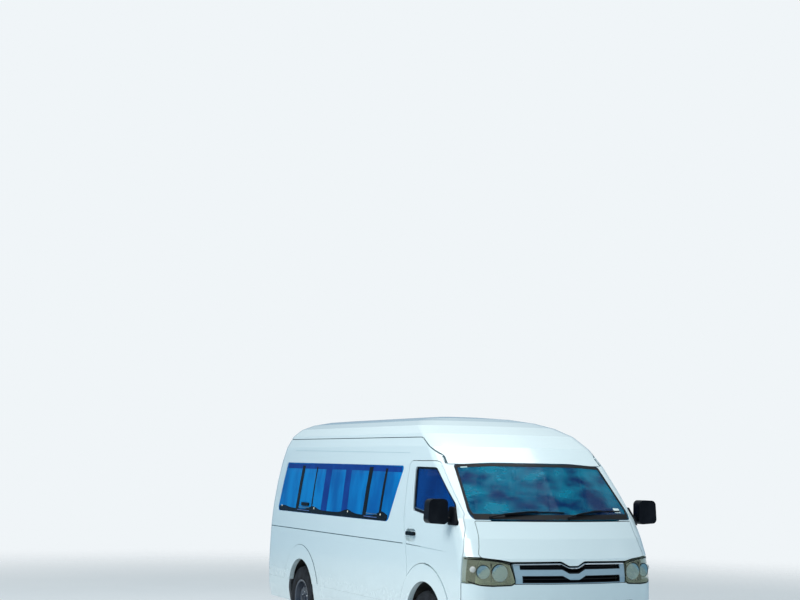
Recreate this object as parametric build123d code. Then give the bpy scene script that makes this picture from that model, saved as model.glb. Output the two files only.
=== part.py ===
from build123d import *
from functools import lru_cache
from math import cos, hypot, pi, radians, sin, sqrt, tan
import os

# Long high-roof minivan, in millimetres. +X is forward, +Y is the vehicle's left, +Z is up.
# The origin lies on the ground, below the middle of the overall box.
# Each panel is a slice of one lofted wall: an outline in side or front view cut from it.

# Driving dimensions
AXLE_FRONT_X = 1650.0
WHEELBASE = 3110.0
AXLE_REAR_X = AXLE_FRONT_X - WHEELBASE
WALL = 46.0            # thickness of doors and body sides
GAP = 6.0              # shut line between panels
GLASS = 5.0            # thickness of the panes
GLASS_SINK = 3.0       # how far flush panes lie below the paint
DOOR_GLASS_SINK = 14.0 # how far the front doors' panes lie below the paint

# Hull, one row for each level. Half width is at the side, front and rear are on the centre line,
# and each end has a wide nose or tail radius and a corner radius.
# columns: level z, half width, front x, nose radius, front corner, rear x, tail radius, rear corner
LEVELS = [
    (300, 905, 2630, 2300, 210, -2660, 6000, 130),
    (440, 928, 2680, 2300, 230, -2690, 6000, 150),
    (620, 936, 2690, 2300, 240, -2680, 6000, 150),
    (860, 940, 2676, 2300, 240, -2662, 6000, 160),
    (1020, 940, 2635, 2300, 240, -2655, 6000, 170),
    (1180, 934, 2550, 2300, 230, -2645, 6000, 180),
    (1340, 923, 2440, 2300, 210, -2625, 6000, 190),
    (1570, 902, 2195, 2300, 170, -2580, 6000, 200),
    (1800, 875, 1945, 2300, 140, -2520, 6000, 220),
    (1960, 845, 1740, 2200, 140, -2470, 6000, 240),
    (2080, 800, 1520, 2100, 160, -2410, 6000, 260),
    (2160, 725, 1290, 2000, 200, -2340, 6000, 280),
    (2210, 615, 1080, 1900, 220, -2250, 6000, 280),
    (2245, 440, 850, 1900, 200, -2120, 6000, 240),
    (2265, 220, 550, 1900, 120, -1900, 6000, 140),
]
SIDE_RADIUS = 200000.0 # the sides bow out very slightly
SIDE_MIDDLE_X = -200.0
RAKE_SHARE = 1.25      # a raked screen needs a longer step in x for the same thickness
ROOF_START_Z = 1900.0
ROOF_BLEND = 300.0
SMALLEST_CORNER = 40.0

# Levels that several panels share
SILL_Z = 527.0         # top of the rocker covers and rear bumper
BELT_Z = 1258.0        # bottom of the long side windows
WINDOW_TOP_Z = 1790.0
GUTTER_Z = 2055.0      # seam between the sides and the high roof
WAIST_Z = 1083.0       # pressed groove along the sides
BUMPER_TOP_Z = 812.0
GRILLE_TOP_Z = 984.0
SCREEN_BASE_Z = 1334.0
FLOOR_Z = 600.0        # underside of the floor
FLOOR_THICK = 36.0
BODY_BOTTOM_Z = LEVELS[0][0]
SIDE_REACH = 1000.0    # outline cutters reach from here through the wall
SIDE_INNER = 640.0

# Wheels and arches
TYRE_RADIUS = 347.0
TYRE_WIDTH = 195.0
RIM_RADIUS = 190.5
TRACK_HALF = 822.0
ARCH_CENTRE_Z = 385.0
ARCH_RADIUS = 385.0
FLARE_RADIUS = 540.0
WELL_RADIUS = 398.0
WELL_WALL = 4.0
WELL_INNER_FRONT = 520.0
WELL_INNER_REAR = 640.0
KINGPIN_Y = 742.0

# Doors, in side view (x, z, corner radius)
DOOR_FRONT_X = 2356.0
DOOR_FOOT_Z = 560.0
DOOR_OUTLINE = [
    (1292, DOOR_FOOT_Z, 0), (1292, 900, 300), (1258, 1075, 300), (1186, 1290, 200), (1180, 1650, 400),
    (1196, 1826, 70), (1740, 1826, 110), (2228, 1378, 60), (2300, 1262, 120), (DOOR_FRONT_X, 1090, 300),
    (DOOR_FRONT_X, DOOR_FOOT_Z, 30), (1950, DOOR_FOOT_Z, 0),
]
DOOR_WINDOW = [
    (1361, 1382, 30), (1322, 1776, 34), (1748, 1772, 80), (2120, 1462, 200), (2236, 1308, 10),
    (2240, 1280, 12),
]
SLIDE_REAR_X = -40.0
SLIDE_FRONT_X = 1128.0
SLIDE_BOTTOM_Z = 400.0
SLIDE_TOP_Z = 1860.0
LONG_WINDOW = [
    (-2278, BELT_Z, 40), (-2110, WINDOW_TOP_Z + 4, 34), (1080, WINDOW_TOP_Z - 8, 30), (830, BELT_Z, 90),
]
SEAL = 10.0            # rebate round each pane


@lru_cache(maxsize=None)
def hull(inset, top_share=1.0):
    """The body's outer form, drawn in by inset on all sides."""
    wires = []
    for z, half, front, nose, front_corner, rear, tail, rear_corner in LEVELS:
        roofness = min(1.0, max(0.0, (z - ROOF_START_Z) / ROOF_BLEND))
        side = inset * (1 - 0.5 * roofness)
        wires.append(plan_outline(
            z - inset * roofness * top_share,
            half - side,
            front - side * RAKE_SHARE,
            nose - side,
            max(front_corner - side, SMALLEST_CORNER),
            rear + side,
            tail - side,
            max(rear_corner - side, SMALLEST_CORNER),
        ))
    return Solid.make_loft(wires, ruled=True)


def tangent_corner(end_centre, end_radius, side_centre, corner_radius, ahead):
    """Centre of the corner arc that is tangent inside an end arc and a side arc."""
    to_end = end_radius - corner_radius
    to_side = SIDE_RADIUS - corner_radius
    dx = side_centre[0] - end_centre[0]
    dy = side_centre[1] - end_centre[1]
    apart = hypot(dx, dy)
    along = (to_end**2 - to_side**2 + apart**2) / (2 * apart)
    across = sqrt(to_end**2 - along**2)
    for sign in (1, -1):
        x = end_centre[0] + (along * dx + sign * across * dy) / apart
        y = end_centre[1] + (along * dy - sign * across * dx) / apart
        if (x - end_centre[0]) * ahead > 0 and y < 0:
            return (x, y)
    raise ValueError("no tangent corner")


def on_circle(centre, point, radius):
    """The point of a circle that lies towards another point."""
    away = hypot(point[0] - centre[0], point[1] - centre[1])
    return tuple(c + (p - c) * radius / away for c, p in zip(centre, point))


def between(p, q):
    return ((p[0] + q[0]) / 2, (p[1] + q[1]) / 2)


def plan_outline(z, half, front, nose, front_corner, rear, tail, rear_corner):
    """Eight tangent arcs round the body at one level."""
    nose_centre = (front - nose, 0.0)
    tail_centre = (rear + tail, 0.0)
    side_centre = (SIDE_MIDDLE_X, SIDE_RADIUS - half)
    fore = tangent_corner(nose_centre, nose, side_centre, front_corner, 1)
    aft = tangent_corner(tail_centre, tail, side_centre, rear_corner, -1)
    a = on_circle(nose_centre, fore, nose)
    b = on_circle(side_centre, fore, SIDE_RADIUS)
    c = on_circle(side_centre, aft, SIDE_RADIUS)
    d = on_circle(tail_centre, aft, tail)
    corner_mid = on_circle(fore, between(a, b), front_corner)
    side_mid = on_circle(side_centre, between(b, c), SIDE_RADIUS)
    tail_mid = on_circle(aft, between(c, d), rear_corner)

    def left(p):
        return (p[0], -p[1])

    arcs = [
        (left(a), (front, 0.0), a), (a, corner_mid, b), (b, side_mid, c), (c, tail_mid, d),
        (d, (rear, 0.0), left(d)), (left(d), left(tail_mid), left(c)),
        (left(c), left(side_mid), left(b)), (left(b), left(corner_mid), left(a)),
    ]
    return Wire([Edge.make_three_point_arc(*(Vector(*p, z) for p in arc)) for arc in arcs])


@lru_cache(maxsize=None)
def layer(outer, inner):
    """The part of the wall between two depths below the paint."""
    return hull(outer) - hull(inner)


def skin(cutter, outer, inner):
    """The part of a cutter that lies between two depths below the paint."""
    return (hull(outer) & cutter) - hull(inner)


def rounded_face(corners, grow=0.0):
    """A flat face from (a, b, radius) corners, each arc tangent to its two sides."""
    edges = []
    count = len(corners)
    starts = []
    ends = []
    arcs = []
    for i in range(count):
        before, here, after = (Vector(*corners[(i + k) % count][:2]) for k in (-1, 0, 1))
        radius = corners[i][2]
        to_before = (before - here).normalized()
        to_after = (after - here).normalized()
        turn = radians(to_before.get_angle(to_after))
        if radius <= 0 or turn > pi - 1e-4:
            starts.append(here)
            ends.append(here)
            arcs.append(None)
            continue
        back = radius / tan(turn / 2)
        middle = here + (to_before + to_after).normalized() * (radius / sin(turn / 2) - radius)
        starts.append(here + to_before * back)
        ends.append(here + to_after * back)
        arcs.append(middle)
    for i in range(count):
        if arcs[i] is not None:
            edges.append(Edge.make_three_point_arc(starts[i], arcs[i], ends[i]))
        following = starts[(i + 1) % count]
        if (following - ends[i]).length > 1e-6:
            edges.append(Edge.make_line(ends[i], following))
    face = Face(Wire(edges))
    if grow:
        face = offset(Sketch() + face, amount=grow, kind=Kind.ARC).faces()[0]
    return face


def side_cut(corners, y_from, y_to, grow=0.0):
    """Side-view outline (x, z, radius) reaching from y_from to y_to."""
    low, high = sorted((y_from, y_to))
    slab = Solid.extrude(rounded_face(corners, grow), Vector(0, 0, high - low))
    return Pos(0, high, 0) * Rot(90, 0, 0) * slab


def front_cut(corners, x_from, x_to, grow=0.0):
    """Front-view outline (y, z, radius) reaching from x_from to x_to."""
    plane = Plane(origin=(x_from, 0, 0), x_dir=(0, 1, 0), z_dir=(1, 0, 0))
    face = plane * rounded_face(corners, grow)
    return Solid.extrude(face, Vector(x_to - x_from, 0, 0))


def top_cut(corners, z_from, z_to, grow=0.0):
    """Plan outline (x, y, radius) reaching from z_from to z_to."""
    face = Pos(0, 0, z_from) * rounded_face(corners, grow)
    return Solid.extrude(face, Vector(0, 0, z_to - z_from))


def block(x, y, z):
    """A box between pairs of coordinates."""
    return Pos((x[0] + x[1]) / 2, (y[0] + y[1]) / 2, (z[0] + z[1]) / 2) * Box(
        abs(x[1] - x[0]), abs(y[1] - y[0]), abs(z[1] - z[0]))


def rod(start, end, radius):
    """A round bar between two points."""
    a, b = Vector(*start), Vector(*end)
    return Plane(origin=a, z_dir=b - a) * Cylinder(
        radius, (b - a).length, align=(Align.CENTER, Align.CENTER, Align.MIN))


def across(x, z, radius, y_from, y_to):
    """A round bar along Y."""
    return rod((x, min(y_from, y_to), z), (x, max(y_from, y_to), z), radius)


def mirrored(shape):
    """The same piece on the other side of the vehicle."""
    return mirror(shape, about=Plane.XZ)


def both(shape):
    return [shape, mirrored(shape)]


def cut_all(shape, tools):
    for tool in tools:
        shape = shape - tool
    return shape


def pieces(*shapes):
    """Solids that stand apart, as one node."""
    solids = [s for shape in shapes for s in shape.solids()]
    return Compound(children=solids)


parts = {}


def keep(name, *shapes):
    parts[name] = pieces(*shapes)



# Cut planes and seams
TAIL_REACH = -2800.0
TAIL_INNER = -2150.0
NOSE_REACH = 2800.0
NOSE_INNER = 2000.0
SEAM = 0.8             # joint between fixed panels
SEAT_GAP = 0.3         # glued or clipped pieces stand this far apart
NOSE_X = 2368.0        # rear edge of the headlamps
LAMP_TOP_Z = 1031.0
PILLAR_FOOT_Z = 1376.0
TAILGATE_TOP_Z = 1950.0
ROOF_HEADER_HALF = 722.0
GUTTER_GROOVE = 7.0
GUTTER_DEPTH = 9.0
WAIST_DEPTH = 4.0
FLARE_PROUD = 4.0
HOOD_SKIN = 6.0
HOOD_THICK = 26.0
HOOD_FRAME_EDGE = 30.0
FENDER_INNER_Y = 640.0 # the hood's rear edge rises between the fenders' ends
HOOD_FRAME_TOP = 1255.0
COWL_SINK = 40.0
COWL_DEEP = 70.0
DOOR_ROOM = 12.0       # room round the swinging doors behind the panels

# Front and rear ends
BUMPER_THICK = 22.0
BUMPER_BAR_DEEP = 60.0
BUMPER_STAY_X = 2760.0
REAR_BUMPER_X = AXLE_REAR_X - 200.0
SILL_REAR_X = AXLE_REAR_X + 200.0
SILL_FRONT_X = AXLE_FRONT_X - 200.0
LENS_SINK = 1.5
LENS_THICK = 3.0
LAMP_DEEP = 120.0
LAMP_BACK = 8.0
LAMP_RIM = 7.0
TAIL_LAMP_FRONT_X = -2556.0
GRILLE_SINK = 4.0
GRILLE_DEEP = 34.0
GRILLE_SLOTS = [
    [
        (-489, 939, 8), (-489, 968, 12), (-112, 970, 50), (-46, 936, 30), (46, 936, 30), (112, 970, 50),
        (489, 968, 12), (489, 939, 8), (112, 941, 50), (46, 907, 30), (-46, 907, 30), (-112, 941, 50),
    ],
    [
        (-466, 829, 10), (-475, 877, 12), (-112, 878, 50), (-46, 846, 30),
        (46, 846, 30), (112, 878, 50), (475, 877, 12), (466, 829, 10),
    ],
]
SLAT_LEVELS = (950.0, 850.0)
PLATE_Z = 780.0

# Floor and chassis
FLOOR_REAR_X = -2606.0
FLOOR_FRONT_X = 2520.0
SHELF_Z = 1036.0
BULKHEAD_DEEP = 134.0
COVER_X = (1080.0, 1760.0)
COVER_HALF = WELL_INNER_FRONT - WELL_WALL - SEAT_GAP
COVER_TOP_Z = 860.0
COVER_WALL = 12.0
STEP_WELL_X = (150.0, 1000.0)
STEP_WELL_Y = 560.0
STEP_Z = 400.0
STEP_THICK = 20.0
WELL_FOOT_Z = 470.0    # the rear wheel wells reach below the floor
DOOR_SWING_ROOM = 4.0  # the floor stands back from the swinging doors
RAIL_Y = (360.0, 425.0)
RAIL_Z = (465.0, 565.0)
RAIL_REAR_X = -2540.0
RAIL_FRONT_X = 2400.0
CROSS_X = (-2440.0, -1820.0, -1000.0, -100.0, 800.0, 2120.0)
OUTRIGGER_X = (-2350.0, -900.0, -60.0, 1080.0, 2220.0)
OUTRIGGER_Y = 840.0
OUTRIGGER_Z = (RAIL_Z[1] + SEAT_GAP, FLOOR_Z - SEAT_GAP)
ENGINE_X = (1180.0, 1740.0)
ENGINE_HALF = 250.0
ENGINE_Z = (330.0, 820.0)
TOW_FRONT_X = 2330.0
TOW_REAR_X = -2480.0
TOW_Y = 468.0          # middle of the eye, beside the rail
TOW_OUTER = 38.0
TOW_BORE = 20.0
TOW_THICK = 22.0
REAR_TUBE_END = 730.0
REAR_SPINDLE_END = TRACK_HALF + 76.0
SPINDLE_R = 17.0
RUNNING = 0.06         # radial clearance of turning fits
SPRING_Y = 560.0
SPRING_WIDE = 60.0
SPRING_THICK = 16.0
SPRING_REAR_X = -2110.0
SPRING_FRONT_X = -860.0
SPRING_END_Z = 452.0
SPRING_PAD_GAP = 3.0   # the leaf curves up to 0.3 mm from the pad's ends
SPRING_MID_Z = 296.0
TANK_X = (-760.0, 120.0)
TANK_Y = (460.0, 820.0)
TANK_Z = (345.0, OUTRIGGER_Z[0] - SEAT_GAP)
EXHAUST_X = (-700.0, -150.0)
EXHAUST_Y = -560.0
EXHAUST_Z = 372.0
EXHAUST_R = 26.0
SPARE_X = -2170.0
SPARE_Z = RAIL_Z[0] + 10.0 - SEAT_GAP - TYRE_WIDTH / 2
SPARE_RADIUS = 300.0

# Wheels and front suspension
HUB_RADIUS = 62.0
HUB_Y = (-30.0, 78.0)
VENTS = 12
VENT_CIRCLE = 128.0
VENT_R = 13.0
PIN_R = 13.0
PIN_REACH = 136.0
ARM_OFFSET = 104.0
ARM_HALF = 18.0

# Cabin
DASH_CLEAR = COWL_DEEP + SEAT_GAP
DASH_HALF = 790.0
DASH_SIDE = [
    (2060, 960, 60), (2120, 1190, 60), (2560, 1290, 0), (2560, 900, 0), (2330, 860, 60), (2300, 960, 40),
]
STEER_HUB = (1905.0, -395.0, 1180.0)
STEER_TILT = 52.0
STEER_RADIUS = 190.0
STEER_GRIP = 15.0
COLUMN_START = 34.5
COLUMN_LONG = 560.0
COLUMN_R = 24.0
FRONT_SEAT_X = 1230.0
FRONT_SEAT_Y = (-400.0, 400.0)
FRONT_SEAT_WIDE = 500.0
CUSHION_LONG = 470.0
CUSHION_THICK = 110.0
BACK_HIGH = 560.0
BACK_LEAN = 120.0
LEG_HIGH = 250.0
ROW_X = (330.0, -480.0, -1270.0, -2080.0)
BENCH = (-420.0, 860.0)   # middle and width of the seats on the right
SINGLE = (420.0, 430.0)

# Mirrors and handles, side view (x, z, radius)
MIRROR_HEAD = [(-1150, 1300, 40), (-1136, 1504, 44), (-962, 1506, 44), (-962, 1288, 40)]
MIRROR_X = (2085.0, 2185.0)
MIRROR_FOOT = [(2110, 1284, 10), (2090, 1440, 10), (2140, 1436, 10), (2226, 1310, 10), (2226, 1284, 10)]
MIRROR_FOOT_PROUD = 16.0
MIRROR_ARM = (2135.0, 1330.0)
HANDLE_PROUD = 14.0

# Rubber stops
STOP_THICK = 14.0
STOP_LONG = 50.0
STOP_HIGH = 60.0
STOP_TAIL_Y = 798.0
DOOR_REAR_X = 1184.0


def wheel_disc(axle_x, radius, y_from, y_to):
    return across(axle_x, ARCH_CENTRE_Z, radius, y_from, y_to)


def oval(a, b, long, high, corner):
    """Corners of a rounded rectangle round a middle point."""
    return [
        (a - long / 2, b - high / 2, corner), (a + long / 2, b - high / 2, corner),
        (a + long / 2, b + high / 2, corner), (a - long / 2, b + high / 2, corner),
    ]


# Outlines of the panels in front view, (y, z, radius)
HEADLAMP = [
    (-960, 1026, 0), (-908, 1024, 30), (-764, 1016, 200), (-640, 1000, 200), (-562, 981, 24),
    (-541, 887, 200), (-532, 820, 30), (-566, 801, 40), (-722, 793, 200), (-819, 798, 200), (-960, 838, 0),
]
HOOD_RIGHT = [
    (-772, 1322, 10), (-770, 1231, 500), (-790, 1117, 500), (-812, 1031, 30),
    (-640, 1012, 300), (-560, 996, 60), (-112, 1000, 60), (-40, 962, 40),
]
HOOD = HOOD_RIGHT + [(-y, z, r) for y, z, r in reversed(HOOD_RIGHT)]
SCREEN_RIGHT = [
    (-400, 1822, 2000), (-741, 1800, 26), (-770, 1587, 2500), (-800, 1400, 120), (-786, 1334, 40),
]
SCREEN = SCREEN_RIGHT + [(-y, z, r) for y, z, r in reversed(SCREEN_RIGHT)]
TAILGATE = [
    (-796, 560, 50), (-796, 1300, 900), (-716, TAILGATE_TOP_Z, 110),
    (716, TAILGATE_TOP_Z, 110), (796, 1300, 900), (796, 560, 50),
]
REAR_WINDOW = [(-712, 1300, 60), (-668, 1800, 70), (668, 1800, 70), (712, 1300, 60)]
TAIL_LAMP = [(-960, 850, 0), (-802, 850, 14), (-806, 1250, 14), (-960, 1250, 0)]
GRILLE_RIGHT = [(-532, 816, 10), (-545, 980, 20), (-116, 984, 60), (-44, 948, 40)]
GRILLE = GRILLE_RIGHT + [(-y, z, r) for y, z, r in reversed(GRILLE_RIGHT)]
INTAKE = oval(0, 590, 1300, 150, 45)

# Outlines in side view, (x, z, radius)
ROOF_SIDE = [
    (TAIL_REACH, GUTTER_Z, 0), (1330, GUTTER_Z - 8, 240), (1700, 1885, 300), (1800, 1806, 0), (2400, 1806, 0),
    (2400, 2500, 0), (TAIL_REACH, 2500, 0),
]
SLIDE_OUTLINE = [
    (SLIDE_REAR_X, SLIDE_BOTTOM_Z, 60), (SLIDE_FRONT_X, SLIDE_BOTTOM_Z, 60),
    (SLIDE_FRONT_X, SLIDE_TOP_Z, 70), (SLIDE_REAR_X, SLIDE_TOP_Z, 70),
]
SLIDE_FRAME = 62.0     # width of the frame round the sliding door's pane
LEFT_WINDOW = [
    LONG_WINDOW[0], LONG_WINDOW[1],
    (SLIDE_REAR_X - SLIDE_FRAME, WINDOW_TOP_Z, 40), (SLIDE_REAR_X - SLIDE_FRAME, BELT_Z, 40),
]
SLIDE_WINDOW = [
    (SLIDE_REAR_X + SLIDE_FRAME, BELT_Z, 40), (SLIDE_REAR_X + SLIDE_FRAME, WINDOW_TOP_Z, 40),
    LONG_WINDOW[2], LONG_WINDOW[3],
]
WAIST_GROOVE = [
    (TAIL_REACH, WAIST_Z - 5, 0), (TAIL_REACH, WAIST_Z + 5, 0), (1190, WAIST_Z, 900), (2110, WAIST_Z - 30, 0),
    (1190, WAIST_Z - 9, 900),
]
HANDLE_X = 1352.0
HANDLE_Z = 1160.0
HANDLE_LONG = 210.0
HANDLE_HIGH = 112.0
CUP_DEPTH = 34.0
SLIDE_HANDLE_X = SLIDE_FRONT_X - 130.0


def handle_cup(x):
    """The hollow behind a door handle."""
    cup = side_cut(oval(x, HANDLE_Z, HANDLE_LONG, HANDLE_HIGH, 46), -SIDE_INNER, -SIDE_REACH)
    return cup - hull(CUP_DEPTH)


HANDLE_CUP = handle_cup(HANDLE_X)
HANDLE_CUP_SLIDE = handle_cup(SLIDE_HANDLE_X)
ARCHES_RIGHT = [wheel_disc(x, ARCH_RADIUS, -SIDE_INNER, -SIDE_REACH) for x in (AXLE_FRONT_X, AXLE_REAR_X)]


def biggest(shape):
    """Drops slivers that an outline leaves beyond the panel."""
    return max(shape.solids(), key=lambda s: s.volume)


def window_hole(outline, cutter, *reach):
    return [cutter(outline, *reach)]


def pane(outline, cutter, *reach, sink=GLASS_SINK):
    """A pane that follows the wall, a hair smaller than its rebate."""
    return skin(cutter(outline, *reach, -SEAT_GAP), sink, sink + GLASS)


RIGHT = (-SIDE_INNER, -SIDE_REACH)
REAR = (TAIL_REACH, TAIL_INNER)
NOSE = (NOSE_INNER, NOSE_REACH)


def make_body():
    wall = layer(0.0, WALL)
    roof_cut = side_cut(ROOF_SIDE, -1100, 1100)
    header_cut = block(REAR, (-ROOF_HEADER_HALF, ROOF_HEADER_HALF), (TAILGATE_TOP_Z + GAP, 2100))
    tailgate_gap = front_cut(TAILGATE, *REAR, GAP)
    screen_cuts = window_hole(SCREEN, front_cut, 1500, NOSE_REACH)
    hood_gap = front_cut(HOOD, 2000, NOSE_REACH, GAP)

    # roof, with a groove along the gutter
    header = (wall & header_cut) - roof_cut
    keep("roof_panel", cut_all((wall & roof_cut) + header, screen_cuts + [tailgate_gap]))

    # sides: the same pressing on both sides, with the sliding door's hole on the left
    groove = side_cut(ROOF_SIDE, -1100, 1100, GUTTER_GROOVE) - hull(GUTTER_DEPTH)
    door_gap = side_cut(DOOR_OUTLINE, *RIGHT, GAP) - wheel_disc(AXLE_FRONT_X, FLARE_RADIUS, *RIGHT)
    above_sill = block((REAR[0], NOSE_REACH), (-1000, 0), (SILL_Z + SEAM, 2400))
    behind_nose = block((REAR[0], AXLE_FRONT_X), (-1000, 0), (BODY_BOTTOM_Z - 10, 2400))
    pillar_zone = block((REAR[0], 2600), (-1000, 0), (PILLAR_FOOT_Z, 2400))
    side = ((wall - roof_cut) - header_cut) & (above_sill & (behind_nose + pillar_zone))
    rings = [
        skin(wheel_disc(x, FLARE_RADIUS - GAP, *RIGHT), -FLARE_PROUD, WALL) & above_sill
        for x in (AXLE_FRONT_X, AXLE_REAR_X)
    ]
    side = cut_all(side, [door_gap, tailgate_gap, hood_gap, groove] + screen_cuts)
    for ring in rings:
        side = side + ring
    waist = side_cut(WAIST_GROOVE, *RIGHT) - hull(WAIST_DEPTH)
    side = cut_all(side, ARCHES_RIGHT + [waist])
    side = side - front_cut(TAIL_LAMP, *REAR, SEAM / 2)
    keep("side_panel_right", biggest(cut_all(side, window_hole(LONG_WINDOW, side_cut, *RIGHT))))
    slide_gap = side_cut(SLIDE_OUTLINE, *RIGHT, GAP)
    left = cut_all(side - slide_gap, window_hole(LEFT_WINDOW, side_cut, *RIGHT))
    keep("side_panel_left", mirrored(biggest(left)))

    # sliding door, held shut: it moves outwards and then back
    sliding = skin(side_cut(SLIDE_OUTLINE, *RIGHT), 0.0, WALL) - waist
    sliding = cut_all(sliding, window_hole(SLIDE_WINDOW, side_cut, *RIGHT) + [HANDLE_CUP_SLIDE])
    keep("sliding_door", mirrored(sliding))

    # fixed side panes
    keep("side_glass", pane(LONG_WINDOW, side_cut, *RIGHT), mirrored(pane(LEFT_WINDOW, side_cut, *RIGHT)),
         mirrored(pane(SLIDE_WINDOW, side_cut, *RIGHT)))

    # front doors with their panes
    door = skin(side_cut(DOOR_OUTLINE, *RIGHT), 0.0, WALL)
    door = door - wheel_disc(AXLE_FRONT_X, FLARE_RADIUS + GAP, *RIGHT)
    door = cut_all(door, screen_cuts + [hood_gap, waist, HANDLE_CUP])
    door = biggest(door - side_cut(DOOR_WINDOW, *RIGHT))
    glass = pane(DOOR_WINDOW, side_cut, *RIGHT, sink=DOOR_GLASS_SINK)
    for hand, turn in (("right", lambda s: s), ("left", mirrored)):
        keep(f"front_door_{hand}", turn(door))
        keep(f"front_door_glass_{hand}", turn(glass))

    # fenders beside the hood
    fender_zone = block((2100, NOSE_REACH), (-1000, 0), (LAMP_TOP_Z, PILLAR_FOOT_Z - SEAM))
    fender = skin(fender_zone, 0.0, COWL_SINK - SEAT_GAP) - side_cut(DOOR_OUTLINE, *RIGHT, GAP)
    hood_rise = block((2000, NOSE_REACH), (-FENDER_INNER_Y, 0), (SCREEN_BASE_Z - 2 * GAP, SCREEN_BASE_Z + GAP))
    lamp_seam = front_cut(HEADLAMP, NOSE_X - 60, NOSE_REACH, SEAM / 2)
    fender = cut_all(fender, screen_cuts + [hood_gap, lamp_seam, hood_rise])
    keep("front_fenders", *both(biggest(fender)))

    # windscreen, hood, cowl behind them
    keep("windscreen", pane(SCREEN, front_cut, 1500, NOSE_REACH))
    hood_cut = front_cut(HOOD, 2000, NOSE_REACH)
    frame_zone = front_cut(HOOD, 2000, NOSE_REACH, -HOOD_FRAME_EDGE)
    hood = skin(hood_cut, 0.0, HOOD_SKIN)
    frame_zone = frame_zone & block((2000, NOSE_REACH), (-900, 900), (900, HOOD_FRAME_TOP))
    stiff = skin(frame_zone, HOOD_SKIN, HOOD_THICK)
    pocket = block((2000, NOSE_REACH), (60, 560), (1060, HOOD_FRAME_TOP - 50))
    stiff = cut_all(stiff, both(pocket))
    keep("hood", hood + stiff)
    cowl_zone = block((2000, NOSE_REACH), (-760, 760), (SCREEN_BASE_Z + 1, SCREEN_BASE_Z + 38))
    cowl = skin(cowl_zone, GLASS_SINK + GLASS + SEAT_GAP, COWL_DEEP)
    upper_zone = block((2000, NOSE_REACH), (-800, 800), (SHELF_Z, SCREEN_BASE_Z + 3))
    upper = skin(upper_zone, COWL_SINK, COWL_DEEP)
    shelf_zone = block((2000, NOSE_REACH), (-790, 790), (SHELF_Z, SHELF_Z + 14))
    shelf = skin(shelf_zone, COWL_SINK, BULKHEAD_DEEP)
    bulkhead_zone = block((2000, NOSE_REACH), (-790, 790), (FLOOR_Z + FLOOR_THICK + SEAT_GAP, SHELF_Z + 5))
    bulkhead = skin(bulkhead_zone, LAMP_DEEP + SEAT_GAP, BULKHEAD_DEEP)
    door_room = side_cut(DOOR_OUTLINE, *RIGHT, DOOR_ROOM)
    keep("front_wall", cut_all(cowl + upper + shelf + bulkhead, both(door_room)))


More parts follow.
